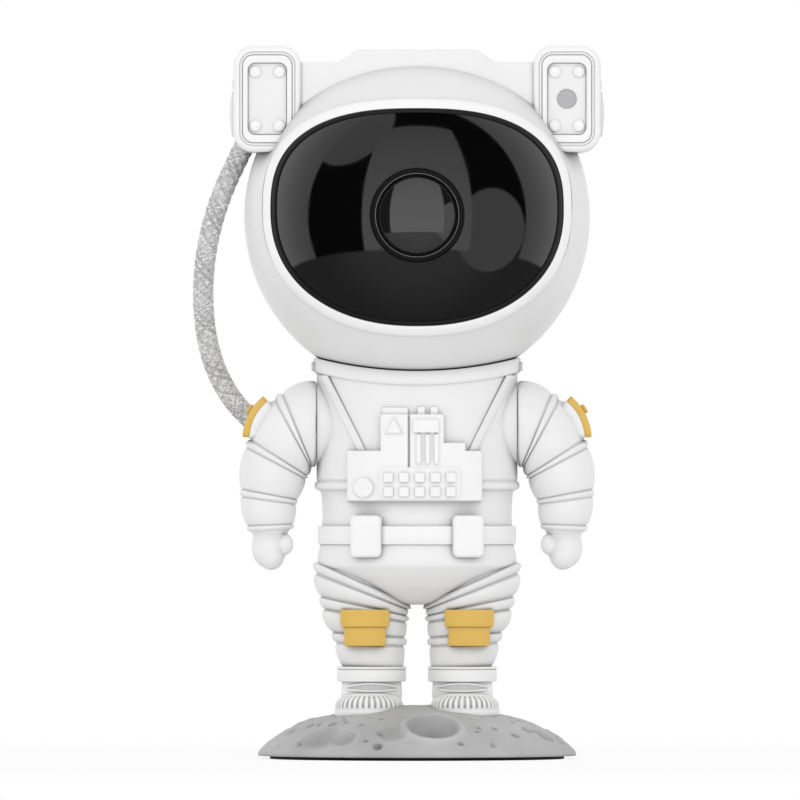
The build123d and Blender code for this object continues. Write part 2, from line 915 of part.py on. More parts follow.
def make_cover():
    cover = prism(pack_outline(0), pack_split, pack_back)
    cover = fillet(cover.faces().sort_by(Axis.Y)[-1].edges(), pack_edge)
    cover -= prism(pack_outline(pack_wall), 0, pack_back - pack_wall)
    for x, z in pack_boss_places():
        cover += rod(x, z, pack_boss_radius, pack_split, pack_back - pack_wall)
        cover -= rod(x, z, small_screw_radius + seat_gap, 0, far)
        cover -= rod(x, z, small_screw_head_radius + seat_gap, cover_screw_seat(), far)
    for x, z in button_places():
        cover -= rod(x, z, button_radius + running_gap, 0, far)
    for number in range(vent_count):
        z = vent_z + (number - (vent_count - 1) / 2) * vent_pitch
        cover -= prism(Pos(0, z) * SlotOverall(vent_length, vent_width), pack_back - 2 * pack_wall, far)
    return cover - extrude(socket_outline(socket_gap), amount=pack_z)


def cover_screw_seat():
    return pack_back - 2 * pack_wall


def make_pack_screws():
    tip = pack_floor + turn_gap
    return [screw_back(x, z, tip, cover_screw_seat(), *small_screw) for x, z in pack_boss_places()]


def make_suit_screws():
    sizes = (screw_radius, screw_head_radius, screw_head_height)
    return [screw_back(x, z, -suit_screw_tip, pack_floor, *sizes) for x, z in suit_screw_places()]


def switch_top():
    return board_back() + switch_height + plunger_height


def make_board():
    board = prism(Pos(0, pack_z) * Rectangle(board_width, board_height), board_face(), board_back())
    for x, z in stake_places():
        board -= rod(x, z, stake_radius + seat_gap, 0, far)
    for x, z in button_places():
        switch = Pos(x, z) * Rectangle(switch_size, switch_size)
        board += prism(switch, board_back(), board_back() + switch_height)
        board += rod(x, z, plunger_radius, board_back(), switch_top())
    return board


def make_socket():
    mouth = pack_z - pack_height / 2 + socket_inset
    floor = mouth + socket_length - 2 * socket_wall
    socket = Pos(0, 0, mouth) * extrude(socket_outline(0), amount=socket_length)
    socket -= Pos(0, 0, mouth) * extrude(socket_outline(-socket_wall), amount=floor - mouth)
    tongue = Pos(0, socket_middle()) * Rectangle(*socket_tongue)
    return socket + Pos(0, 0, mouth + socket_inset) * extrude(tongue, amount=floor - mouth - socket_inset)


def make_button(x, z):
    stop = pack_back - pack_wall - running_gap
    button = rod(x, z, button_radius, stop - button_flange_thickness, pack_back + button_proud)
    button += rod(x, z, button_flange, stop - button_flange_thickness, stop)
    button += rod(x, z, plunger_radius, switch_top() + button_travel + running_gap, stop)
    dish_y = pack_back + button_proud + button_dish - button_dish_depth
    return button - Pos(x, dish_y, z) * Sphere(button_dish)


# Hose


def hose_corner_radii():
    points = [Vector(*p) for p in hose_points]
    radii = []
    for before, here, after in zip(points, points[1:], points[2:]):
        run = min((here - before).length, (after - here).length)
        turn = math.radians((here - before).get_angle(after - here))
        radii.append(hose_corner_share * run / math.tan(turn / 2))
    return radii


def hose_path():
    return FilletPolyline(*hose_points, radius=hose_corner_radii())


def make_hose():
    path = hose_path()
    start = Plane(origin=path @ 0, z_dir=path % 0)
    hose = sweep(start * Circle(hose_radius), path=path)
    ideal = math.pi * hose_radius ** 2 * path.length
    print("hose length", round(path.length, 1), "volume ratio", round(hose.volume / ideal, 4))
    print("hose radii", [round(radius, 1) for radius in hose_corner_radii()])
    return hose


def hose_bore():
    begin, onward = Vector(*hose_points[0]), Vector(*hose_points[1])
    plane = Plane(origin=begin, z_dir=onward - begin)
    return extrude(plane * Circle(hose_radius + hose_hole_gap), amount=(onward - begin).length)


def make_gland():
    y, z = hose_points[-1][1], hose_points[-1][2]
    wall_x = -pack_width / 2
    gland = bar_along_x(y, z, gland_flange_radius, wall_x - gland_flange_thickness, wall_x)
    gland = fillet(gland.edges().sort_by(Axis.X)[0], gland_flange_thickness / 2)
    gland += bar_along_x(y, z, gland_radius, wall_x, wall_x + gland_depth - seat_gap)
    return gland - bar_along_x(y, z, hose_radius + seat_gap, -far, 0)


# Helmet


def visor_outline(grow):
    points = []
    for number in range(visor_points):
        angle = 2 * math.pi * number / visor_points
        across, rise = math.cos(angle), math.sin(angle)
        power = visor_upper_power if rise > 0 else visor_lower_power
        tall = (visor_up if rise > 0 else visor_down) + grow
        x = math.copysign(abs(across) ** (2 / power), across) * (visor_half + grow)
        z = math.copysign(abs(rise) ** (2 / power), rise) * tall
        points.append((x, head_z + visor_rise + z))
    return make_face(Spline(*points, periodic=True))


def visor_prism(grow):
    return prism(visor_outline(grow), -2 * helmet_radius, 0)


def helmet_screw_places():
    way = math.radians(helmet_screw_angle)
    x, z = helmet_screw_circle * math.cos(way), helmet_screw_circle * math.sin(way)
    return [(sx * x, head_z + sz * z) for sx in (-1, 1) for sz in (-1, 1)]


def frame_screw_places():
    return [(sx * frame_screw_x, head_z + sz * frame_screw_z) for sx in (-1, 1) for sz in (-1, 1)]


def helmet_screw_seat():
    return 4 * screw_head_height


def helmet_shell():
    shell = ball(helmet_radius) - ball(helmet_radius - helmet_wall)
    return shell - Pos(0, 0, crown_cut + far / 2) * Box(far, far, far)


def make_helmet_front():
    shell = helmet_shell() & front_half()
    within = ball(helmet_radius - helmet_wall / 2) & front_half()
    for x, z in helmet_screw_places():
        shell += rod(x, z, screw_boss_radius, -far, 0) & within
        shell -= rod(x, z, screw_radius + seat_gap, -helmet_screw_tip() - turn_gap, far)
    return shell - visor_prism(rim_width + seat_gap)


def helmet_screw_tip():
    return 5 * screw_radius


def make_helmet_rear():
    shell = helmet_shell() & rear_half()
    within = ball(helmet_radius - helmet_wall / 2)
    for x, z in helmet_screw_places():
        shell += rod(x, z, screw_boss_radius, 0, far) & within
        shell -= rod(x, z, screw_radius + seat_gap, -far, far)
        shell -= rod(x, z, screw_head_radius + seat_gap, helmet_screw_seat(), far)
    for x, z in frame_screw_places():
        shell += rod(x, z, boss_radius, frame_rear, far) & within
        shell -= rod(x, z, small_screw_radius + seat_gap, 0, frame_screw_tip() + turn_gap)
    return shell


def make_helmet_screws():
    sizes = (screw_radius, screw_head_radius, screw_head_height)
    return [screw_back(x, z, -helmet_screw_tip(), helmet_screw_seat(), *sizes)
            for x, z in helmet_screw_places()]


def make_visor_rim():
    ring = visor_prism(rim_width) - visor_prism(seat_gap)
    return ring & (ball(helmet_radius + rim_proud) - ball(helmet_radius - helmet_wall))


def make_visor():
    glass = visor_prism(0) & (ball(helmet_radius + visor_proud) - ball(helmet_radius - visor_wall))
    return glass - rod(0, head_z, bezel_radius + seat_gap, -far, 0)


def make_bezel():
    front = helmet_radius + visor_proud + bezel_proud
    ring = rod(0, head_z, bezel_radius, -far, -front + bezel_depth) & ball(front)
    return ring - rod(0, head_z, lens_radius + seat_gap, -far, 0)


def make_lens():
    apex = -(helmet_radius + visor_proud + bezel_proud + lens_proud)
    disc = rod(0, head_z, lens_radius, apex, -helmet_radius + bezel_depth)
    return disc & Pos(0, apex + lens_crown, head_z) * Sphere(lens_crown)


def make_barrel():
    tube = rod(0, head_z, bezel_radius + barrel_wall, -far, -barrel_rear)
    tube &= ball(helmet_radius - visor_wall - seat_gap)
    front = helmet_radius + visor_proud + bezel_proud
    tube -= rod(0, head_z, bezel_radius + seat_gap, -far, -front + bezel_depth + seat_gap)
    return tube - rod(0, head_z, lens_radius, -far, 0)


def make_head_plate():
    outer = helmet_radius - helmet_wall - seat_gap
    return post(0, 0, plate_radius, 0, head_z) & (ball(outer) - ball(outer - head_plate_thickness))


def make_crown_bar():
    end = ear_x - ear_width / 2 - seat_gap
    low = head_z
    shoulder = crown_top - crown_shoulder_drop
    right = [(crown_half, crown_top), (crown_shoulder_half, shoulder), (end, shoulder), (end, low)]
    left = [(-x, z) for x, z in reversed(right)]
    block = prism(make_face(Polyline(*left, *right, close=True)), -helmet_radius, helmet_radius)
    block &= post(0, crown_arc - crown_front, crown_arc, 0, far)
    block &= post(0, crown_back - crown_arc, crown_arc, 0, far)
    inside = ball(helmet_radius + seat_gap) - Pos(0, 0, crown_cut + seat_gap + far / 2) * Box(far, far, far)
    return block - inside


# Ears


def ear_outline(inset, corner):
    return Pos(ear_x, ear_z) * RectangleRounded(ear_width - 2 * inset, ear_height - 2 * inset, corner)


def ear_panel_floor():
    return -ear_front + ear_panel_recess + ear_panel_thickness


def make_ear():
    box = prism(ear_outline(0, ear_corner), -ear_front, ear_back)
    box = fillet(box.edges().group_by(Axis.Y)[0] + box.edges().group_by(Axis.Y)[-1], ear_edge)
    corner = ear_corner - ear_groove_inset
    groove = ear_outline(ear_groove_inset, corner) - ear_outline(
        ear_groove_inset + ear_groove_width, corner - ear_groove_width)
    box -= prism(groove, -far, -ear_front + ear_groove_depth)
    pocket = Pos(ear_x, ear_z) * RectangleRounded(
        ear_panel_width + 2 * seat_gap, ear_panel_height + 2 * seat_gap, ear_panel_corner)
    box -= prism(pocket, -far, ear_panel_floor() + seat_gap)
    room = prism(ear_outline(ear_wall, ear_corner - ear_wall), -ear_front + ear_nose, ear_back - ear_wall)
    box -= room
    nub = side_ball(ear_x + ear_width / 2 - nub_radius / 3, disc_y, ear_z + nub_rise, nub_radius)
    return (box + nub) - ball(helmet_radius + seat_gap)


def make_left_ear(ear):
    return mirrored(ear) - hose_bore()


def make_right_ear(ear):
    floor = ear_panel_floor()
    ear = ear - rod(ear_x, ear_z, laser_light_radius, floor, 0)
    return ear - rod(ear_x, ear_z, laser_radius + seat_gap, laser_front(), laser_front() + laser_length)


def laser_front():
    return -ear_front + ear_nose - laser_seat


def make_laser():
    tube = rod(ear_x, ear_z, laser_radius, laser_front() + seat_gap, laser_front() + laser_length)
    return tube - rod(ear_x, ear_z, laser_light_radius, -far, laser_front() + laser_seat)


def make_ear_panel():
    outline = RectangleRounded(ear_panel_width, ear_panel_height, ear_panel_corner)
    face = -ear_front + ear_panel_recess
    panel = prism(Pos(ear_x, ear_z) * outline, face, ear_panel_floor())
    bulge = (rivet_radius ** 2 + rivet_proud ** 2) / (2 * rivet_proud)
    for sx in (-1, 1):
        for sz in (-1, 1):
            x, z = ear_x + sx * rivet_x, ear_z + sz * rivet_z
            dome = Pos(x, face - rivet_proud + bulge, z) * Sphere(bulge)
            panel += dome & rod(x, z, 2 * rivet_radius, -far, face + ear_panel_thickness / 2)
    return panel


def make_ear_panels():
    panel = make_ear_panel() - ball(helmet_radius + seat_gap)
    right = panel - rod(ear_x, ear_z, laser_window_radius + seat_gap, -far, 0)
    return [mirrored(panel), right]


def make_laser_window():
    floor = ear_panel_floor()
    return rod(ear_x, ear_z, laser_window_radius, floor - laser_window_thickness, floor)


def make_ear_discs():
    side = ear_x + ear_width / 2 + seat_gap
    bulge = (disc_radius ** 2 + disc_proud ** 2) / (2 * disc_proud)
    z = ear_z - disc_drop
    dome = side_ball(side + disc_proud - bulge, disc_y, z, bulge)
    disc = dome & bar_along_x(disc_y, z, 2 * disc_radius, side, side + 2 * disc_proud)
    return [mirrored(disc), disc]


# Optics


def gear_face(teeth, phase):
    pitch = gear_module * teeth / 2
    tip = pitch + tooth_tip * gear_module
    root = pitch - tooth_root * gear_module
    half = tooth_share * math.pi * gear_module / 2
    flank = math.tan(math.radians(tooth_flank))
    corners = ((root, half + flank * (pitch - root)), (tip, half - flank * (tip - pitch)))
    points = []
    for number in range(teeth):
        middle = math.radians(phase + number * 360 / teeth)
        profile = [(radius, -width) for radius, width in corners]
        profile += [(radius, width) for radius, width in reversed(corners)]
        for radius, width in profile:
            angle = middle + width / radius
            points.append((radius * math.cos(angle), radius * math.sin(angle)))
    return make_face(Polyline(*points, close=True))


def frame_screw_tip():
    return frame_rear + 4 * small_screw_radius


def make_optics_frame():
    outline = RectangleRounded(2 * frame_half, 2 * frame_half, 2 * boss_radius)
    plate = prism(Pos(0, head_z) * outline, frame_front, frame_rear)
    tube = rod(0, head_z, lamp_tube_radius, frame_rear, frame_rear + lamp_tube_length)
    plate += tube - rod(0, head_z, lamp_tube_radius - lamp_tube_wall, frame_rear + condenser_ledge, far)
    plate -= rod(0, head_z, light_hole, -far, far)
    for x, z in frame_screw_places():
        plate -= rod(x, z, small_screw_radius + seat_gap, -far, far)
    plate -= rod(0, wheel_z, wheel_pin_radius, -far, far)
    return plate - rod(motor_x, wheel_z, motor_boss_radius + seat_gap, -far, far)


def make_frame_screws():
    screws = []
    for x, z in frame_screw_places():
        shank = rod(x, z, small_screw_radius, frame_front, frame_screw_tip())
        head = rod(x, z, small_screw_head_radius, frame_front - small_screw_head_height, frame_front)
        screws.append(shank + head)
    return screws


def wheel_hub_front():
    return -wheel_front - turn_gap


def make_wheel_pin():
    pin = rod(0, wheel_z, wheel_pin_radius, wheel_hub_front() - turn_gap, frame_rear)
    head = wheel_hub_front() - turn_gap
    return pin + rod(0, wheel_z, wheel_pin_head, head - wheel_pin_head_thickness, head)


def make_wave_wheel():
    rim = Pos(0, wheel_z) * gear_face(wheel_teeth, 180 / wheel_teeth)
    ring = prism(rim, -wheel_front, -wheel_front + wheel_thickness)
    inner = wheel_pitch_radius - wheel_rim_width
    ring -= rod(0, wheel_z, inner, -wheel_front, -wheel_front + wheel_thickness - wheel_web)
    ring += rod(0, wheel_z, wheel_hub_radius, wheel_hub_front(), frame_front - turn_gap)
    return ring - rod(0, wheel_z, wheel_pin_radius + running_gap, -far, far)


def make_motor():
    motor = rod(motor_x, wheel_z, motor_radius, frame_rear, frame_rear + motor_length)
    motor = fillet(motor.edges().sort_by(Axis.Y)[-1], motor_edge)
    motor += rod(motor_x, wheel_z, motor_boss_radius, frame_front, frame_rear)
    shaft_end = frame_rear + shaft_depth + turn_gap
    return motor - rod(motor_x, wheel_z, shaft_radius + running_gap, -far, shaft_end)


def make_pinion():
    front = -wheel_front - turn_gap
    back = -wheel_front + wheel_thickness + turn_gap
    pinion = prism(Pos(motor_x, wheel_z) * gear_face(pinion_teeth, 0), front, back)
    return pinion + rod(motor_x, wheel_z, shaft_radius, front, frame_rear + shaft_depth)


def lamp_face():
    return frame_rear + lamp_tube_length


def make_condenser():
    bore = lamp_tube_radius - lamp_tube_wall - seat_gap
    seat = frame_rear + condenser_ledge
    apex = seat + condenser_thickness + condenser_crown - math.sqrt(condenser_crown ** 2 - bore ** 2)
    disc = rod(0, head_z, bore, seat, apex)
    return disc & Pos(0, apex - condenser_crown, head_z) * Sphere(condenser_crown)


def make_lamp_board():
    board = rod(0, head_z, lamp_tube_radius, lamp_face(), lamp_face() + lamp_board_thickness)
    chip = Pos(0, head_z) * Rectangle(*lamp_chip[:2])
    return board + prism(chip, lamp_face() - lamp_chip[2], lamp_face())


def make_heat_sink():
    front = lamp_face() + lamp_board_thickness
    sink = rod(0, head_z, sink_radius, front, front + sink_base)
    pitch = 2 * sink_radius / sink_fins
    fins = Sketch()
    for number in range(sink_fins):
        x = (number - (sink_fins - 1) / 2) * pitch
        fins += Pos(x, head_z) * Rectangle(sink_fin_width, 4 * sink_radius)
    return sink + (prism(fins, front, front + sink_length) & rod(0, head_z, sink_radius, front, far))


# Assembly


def make_nodes():
    outside = make_suit_outside()
    suit = make_suit(outside)
    belt = make_belt(outside)
    ear = make_ear()
    left_arm, left_pin = make_left_arm(), make_left_pin()
    left_patch = make_left_patch(left_arm)
    buttons = [make_button(x, z) for x, z in button_places()]
    return {
        "foot_pad": make_foot_pad(),
        "base_plate": make_base_plate(),
        "base_weight": make_base_weight(),
        "base_screws": make_base_screws(),
        "moon_base": make_moon_base(),
        "leg_screws": make_leg_screws(),
        "left_boot": make_boot(-boot_x),
        "right_boot": make_boot(boot_x),
        "suit_front": suit & front_half(),
        "suit_rear": suit & rear_half(),
        "suit_screws": make_suit_screws(),
        "neck_collar": make_collar(),
        "magnet_cup": make_magnet_cup(),
        "neck_magnet": make_neck_magnet(),
        "chest_panel": make_chest_panel(outside),
        "belt": belt,
        "belt_pouches": [make_pouch(side, outside, belt) for side in (-1, 1)],
        "left_knee_pad": make_knee_pad(-1, outside),
        "right_knee_pad": make_knee_pad(1, outside),
        "left_arm": left_arm,
        "left_arm_pin": left_pin,
        "left_shoulder_patch": left_patch,
        "right_arm": mirrored(left_arm),
        "right_arm_pin": mirrored(left_pin),
        "right_shoulder_patch": mirrored(left_patch),
        "backpack_housing": make_housing(outside),
        "backpack_cover": make_cover(),
        "backpack_screws": make_pack_screws(),
        "control_board": make_board(),
        "power_socket": make_socket(),
        "power_button": buttons[0],
        "nebula_button": buttons[1],
        "star_button": buttons[2],
        "hose": make_hose(),
        "hose_gland": make_gland(),
        "helmet_front": make_helmet_front(),
        "helmet_rear": make_helmet_rear(),
        "helmet_screws": make_helmet_screws(),
        "visor_rim": make_visor_rim(),
        "visor": make_visor(),
        "lens_bezel": make_bezel(),
        "front_lens": make_lens(),
        "lens_barrel": make_barrel(),
        "head_plate": make_head_plate(),
        "crown_bar": make_crown_bar(),
        "left_ear": make_left_ear(ear),
        "right_ear": make_right_ear(ear),
        "ear_panels": make_ear_panels(),
        "ear_discs": make_ear_discs(),
        "laser_window": make_laser_window(),
        "laser_module": make_laser(),
        "optics_frame": make_optics_frame(),
        "frame_screws": make_frame_screws(),
        "wheel_pin": make_wheel_pin(),
        "wave_wheel": make_wave_wheel(),
        "drive_motor": make_motor(),
        "drive_pinion": make_pinion(),
        "condenser_lens": make_condenser(),
        "lamp_board": make_lamp_board(),
        "heat_sink": make_heat_sink(),
    }


def main():
    os.makedirs("parts", exist_ok=True)
    for name, shape in make_nodes().items():
        solids = shape if isinstance(shape, list) else [shape]
        whole = Compound(children=[solid for piece in solids for solid in piece.solids()])
        export_step(whole, f"parts/{name}.step")


main()
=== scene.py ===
import math
import bmesh
import bpy
import numpy as np
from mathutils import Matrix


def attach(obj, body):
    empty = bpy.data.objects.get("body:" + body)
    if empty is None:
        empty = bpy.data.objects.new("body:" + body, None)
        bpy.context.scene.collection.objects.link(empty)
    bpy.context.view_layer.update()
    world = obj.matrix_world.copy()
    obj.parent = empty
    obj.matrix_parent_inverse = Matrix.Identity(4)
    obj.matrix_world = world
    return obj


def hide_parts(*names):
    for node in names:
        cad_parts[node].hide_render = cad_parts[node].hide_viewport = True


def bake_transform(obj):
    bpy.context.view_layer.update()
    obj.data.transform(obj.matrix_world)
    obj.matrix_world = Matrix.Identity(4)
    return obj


# Astronaut star projector on a moon base. Shapes and the reach of creases are in millimetres,
# lights and texture sizes in metres.
# The figure faces -Y and +X is to the viewer's right, as in the CAD frame.

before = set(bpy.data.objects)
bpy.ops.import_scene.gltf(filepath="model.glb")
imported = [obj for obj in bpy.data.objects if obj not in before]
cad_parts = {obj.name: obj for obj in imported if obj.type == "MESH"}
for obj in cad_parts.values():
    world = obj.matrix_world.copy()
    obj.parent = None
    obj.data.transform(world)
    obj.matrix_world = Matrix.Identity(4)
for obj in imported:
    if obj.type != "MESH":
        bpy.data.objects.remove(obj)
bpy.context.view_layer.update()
scene = bpy.context.scene
mm = 0.001
sides = (("left", -1), ("right", 1))    # as the viewer sees them
print("frame loaded:", len(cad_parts), "nodes")


# Node helpers

# Each input gets a value, or a link where another node's socket is given
def addNode(tree, kind, inputs=None, **settings):
    node = tree.nodes.new(kind)
    for name, value in settings.items():
        setattr(node, name, value)
    for key, value in (inputs or {}).items():
        if isinstance(value, bpy.types.NodeSocket):
            tree.links.new(value, node.inputs[key])
        else:
            node.inputs[key].default_value = value
    return node


def linkAll(tree, sockets, values):
    for name, value in values.items():
        tree.links.new(value, sockets[name])


def calc(tree, operation, first, second=0.0):
    return addNode(tree, "ShaderNodeMath", {0: first, 1: second}, operation=operation).outputs["Value"]


def times(tree, first, second):
    return calc(tree, "MULTIPLY", first, second)


# Low where the share is 0, high where it is 1
def between(tree, share, low, high):
    return calc(tree, "ADD", times(tree, share, high - low), low)


# 1 away from the mask, darker on it
def darken(tree, mask, depth):
    return calc(tree, "SUBTRACT", 1.0, times(tree, mask, depth))


def mapRange(tree, value, start, end, low=0.0, high=1.0, kind="LINEAR"):
    inputs = {"Value": value, "From Min": start, "From Max": end, "To Min": low, "To Max": high}
    return addNode(tree, "ShaderNodeMapRange", inputs, interpolation_type=kind).outputs["Result"]


# Soft step from 0 to 1 while the value goes from start to end
def softStep(tree, value, start, end):
    return mapRange(tree, value, start, end, kind="SMOOTHSTEP")


# Soft step where the value passes a limit; a negative width turns it round
def stepAt(tree, value, limit, width):
    return softStep(tree, value, limit - width, limit + width)


def mixShader(tree, share, first, second):
    return addNode(tree, "ShaderNodeMixShader", {0: share, 1: first, 2: second}).outputs["Shader"]


def startMaterial(name, shaderValues):
    material = bpy.data.materials.new(name)
    material.use_nodes = True
    tree = material.node_tree
    shader = tree.nodes["Principled BSDF"]
    for socket, value in shaderValues.items():
        shader.inputs[socket].default_value = value
    return material, tree, shader, addNode(tree, "ShaderNodeTexCoord").outputs["Object"]


def linkObject(name, data):
    thing = bpy.data.objects.new(name, data)
    scene.collection.objects.link(thing)
    return thing


# Camera, light and floor

camera = {"lens": 1000, "sensor": 36, "clipEnd": 60, "place": (-0.00544, -7.1, 0.11456)}
studio = {
    "frontLevel": 1.05, "backLevel": 0.56, "turn": 0.9,     # world light from the front and from behind
    # What shiny surfaces see
    "rearMirror": (0.6, 1.0), "rearFrom": -0.22, "rearFade": 0.6, "rearSoft": 0.012,
    "panelMirror": (0.52, 0.82), "panelHalf": 0.75, "panelTop": 1.9, "panelFoot": -0.5,
    "panelSideSoft": 0.02, "panelTopSoft": 0.06, "leastAhead": 0.01,
    "floorMirror": (0.14, 0.32), "floorTop": -0.37, "floorReach": (-0.2, -0.95), "floorSoft": 0.01,
    "spots": [((0.77, -0.62, -0.145), 0.905), ((-0.568, -0.239, 0.787), 0.92)],     # way, cosine of the edge
    "spotMirror": 0.52, "spotSoft": 0.004,
    # The floor that the camera sees
    "floorColor": (0.93, 0.93, 0.93, 1), "floorRoughness": 0.9,
    "floorHalf": 3.0, "floorNear": 0.82, "floorFade": (0.12, 0.6),
}
softBoxes = [   # name, place, aim, width, height, power in watts
    ("leftBox", (-1.2, -1.3, 0.45), (0, 0, 0.14), 0.6, 1.0, 1.8),
    ("rightBox", (1.2, -1.3, 0.45), (0, 0, 0.14), 0.6, 1.0, 1.5),
    ("frontBox", (-0.12, -2.0, 0.85), (0, 0, 0.11), 0.7, 0.6, 4.0),
    ("topBox", (0.0, 0.3, 1.7), (0, 0, 0.1), 1.4, 1.4, 0.6),
    ("rearLeftBox", (-1.0, 1.6, 0.8), (0, 0, 0.12), 0.8, 0.8, 7.0),
    ("rearRightBox", (1.0, 1.6, 0.8), (0, 0, 0.12), 0.8, 0.8, 4.5),
]


def makeCamera():
    data = bpy.data.cameras.new("frontCamera")
    data.lens = camera["lens"]
    data.sensor_width = camera["sensor"]
    data.clip_end = camera["clipEnd"]
    eye = linkObject("frontCamera", data)
    eye.location = camera["place"]
    eye.rotation_euler = (math.radians(90), 0, 0)
    scene.camera = eye
    scene.view_settings.view_transform = "Standard"


def makeLights():
    for name, place, target, width, height, power in softBoxes:
        light = bpy.data.lights.new(name, "AREA")
        light.shape = "RECTANGLE"
        light.size = width
        light.size_y = height
        light.energy = power
        lamp = linkObject(name, light)
        lamp.location = place
        lamp.visible_glossy = False
        way = np.array(target) - np.array(place)
        lean = math.atan2(math.hypot(way[0], way[1]), -way[2])
        lamp.rotation_euler = (lean, 0, math.atan2(-way[0], way[1]))


# Light as shiny surfaces see it: pale sides and rear, a tall panel in front, a darker floor, two round lamps
def mirrorLevel(tree, way, x, y, z):
    edge, top = studio["rearFrom"], studio["panelTop"]
    rear = between(tree, softStep(tree, y, edge, edge + studio["rearFade"]), *studio["rearMirror"])
    total = times(tree, rear, stepAt(tree, y, edge, studio["rearSoft"]))
    ahead = calc(tree, "MAXIMUM", times(tree, y, -1.0), studio["leastAhead"])
    wide = calc(tree, "DIVIDE", calc(tree, "ABSOLUTE", x), ahead)
    tall = calc(tree, "DIVIDE", z, ahead)
    panel = times(tree, stepAt(tree, wide, studio["panelHalf"], -studio["panelSideSoft"]),
                  stepAt(tree, tall, top, -studio["panelTopSoft"]))
    level = between(tree, softStep(tree, tall, top, studio["panelFoot"]), *studio["panelMirror"])
    total = calc(tree, "ADD", total, times(tree, panel, level))
    floor = between(tree, softStep(tree, y, *studio["floorReach"]), *studio["floorMirror"])
    under = stepAt(tree, z, studio["floorTop"], -studio["floorSoft"])
    above = times(tree, total, calc(tree, "SUBTRACT", 1.0, under))
    total = calc(tree, "ADD", above, times(tree, floor, under))
    for spot, size in studio["spots"]:
        near = addNode(tree, "ShaderNodeVectorMath", {0: way, 1: spot}, operation="DOT_PRODUCT")
        inside = stepAt(tree, near.outputs["Value"], size, studio["spotSoft"])
        total = calc(tree, "MAXIMUM", total, times(tree, inside, studio["spotMirror"]))
    return total


def background(tree, level):
    inputs = {"Color": (1, 1, 1, 1), "Strength": level}
    return addNode(tree, "ShaderNodeBackground", inputs).outputs["Background"]


def makeWorld():
    world = bpy.data.worlds.new("studio")
    scene.world = world
    world.use_nodes = True
    tree = world.node_tree
    tree.nodes.clear()
    way = addNode(tree, "ShaderNodeTexCoord").outputs["Generated"]
    parts = addNode(tree, "ShaderNodeSeparateXYZ", {"Vector": way})
    x, y, z = (parts.outputs[axis] for axis in "XYZ")
    ray = addNode(tree, "ShaderNodeLightPath").outputs
    facing = softStep(tree, y, studio["turn"], -studio["turn"])
    plain = background(tree, between(tree, facing, studio["backLevel"], studio["frontLevel"]))
    mirror = background(tree, mirrorLevel(tree, way, x, y, z))
    seen = background(tree, 1.0)
    shiny = calc(tree, "MAXIMUM", ray["Is Glossy Ray"], ray["Is Transmission Ray"])
    lit = mixShader(tree, shiny, plain, mirror)
    addNode(tree, "ShaderNodeOutputWorld", {"Surface": mixShader(tree, ray["Is Camera Ray"], lit, seen)})


# Pale floor: shadowed near the object, plain white further out, unseen by shiny surfaces
def makeFloor():
    half = studio["floorHalf"]
    mesh = bpy.data.meshes.new("floor")
    corners = [(-half, -half, 0), (half, -half, 0), (half, half, 0), (-half, half, 0)]
    mesh.from_pydata(corners, [], [(0, 1, 2, 3)])
    material, tree, paint, vector = startMaterial("paleFloor", {
        "Base Color": studio["floorColor"], "Roughness": studio["floorRoughness"]})
    ray = addNode(tree, "ShaderNodeLightPath").outputs
    far = addNode(tree, "ShaderNodeVectorMath", {0: vector}, operation="LENGTH").outputs["Value"]
    share = between(tree, softStep(tree, far, *studio["floorFade"]), studio["floorNear"], 1)
    glow = addNode(tree, "ShaderNodeEmission").outputs["Emission"]
    clear = addNode(tree, "ShaderNodeBsdfTransparent").outputs["BSDF"]
    lit = mixShader(tree, times(tree, share, ray["Is Camera Ray"]), paint.outputs["BSDF"], glow)
    last = mixShader(tree, ray["Is Glossy Ray"], lit, clear)
    tree.links.new(last, tree.nodes["Material Output"].inputs["Surface"])
    mesh.materials.append(material)
    floor = linkObject("floor", mesh)


makeCamera()
makeWorld()
makeLights()
makeFloor()
print("studio ready")


# Shared finishes

socketKinds = {"Vector": "NodeSocketVector", "Color": "NodeSocketColor"}    # the others hold numbers
noiseRange = (0.3, 0.7)     # nearly all of a noise lies between these
mouldedNoise = {"cloud": (45.0, 4), "patches": (160.0, 3), "grainDetail": 2}    # scale and detail
streaks = {"stretch": (1, 1, 0.05), "detail": 3, "darkest": 0.88, "roughnessSpread": 0.12, "bump": 0.000006}
# Samples and range of the painted shade where surfaces nearly meet
paintedShadeSettings = {"samples": 8, "range": (0.25, 0.93)}
seamDepth = 0.45


def newGroup(name, inputs, outputs):
    tree = bpy.data.node_groups.new(name, "ShaderNodeTree")
    for socketName, value in inputs.items():
        kind = socketKinds.get(socketName, "NodeSocketFloat")
        socket = tree.interface.new_socket(socketName, in_out="INPUT", socket_type=kind)
        if value is not None:
            socket.default_value = value
    for socketName in outputs:
        kind = socketKinds.get(socketName, "NodeSocketFloat")
        tree.interface.new_socket(socketName, in_out="OUTPUT", socket_type=kind)
    return tree, tree.nodes.new("NodeGroupInput").outputs, tree.nodes.new("NodeGroupOutput").inputs


def noise(tree, vector, scale, detail, roughness=0.5):
    inputs = {"Vector": vector, "Scale": scale, "Detail": detail, "Roughness": roughness}
    return addNode(tree, "ShaderNodeTexNoise", inputs).outputs["Fac"]


def spread(tree, value, low, high):
    return mapRange(tree, value, *noiseRange, low, high)


def tint(tree, color, level):
    inputs = {0: color, "Scale": level}
    return addNode(tree, "ShaderNodeVectorMath", inputs, operation="SCALE").outputs["Vector"]


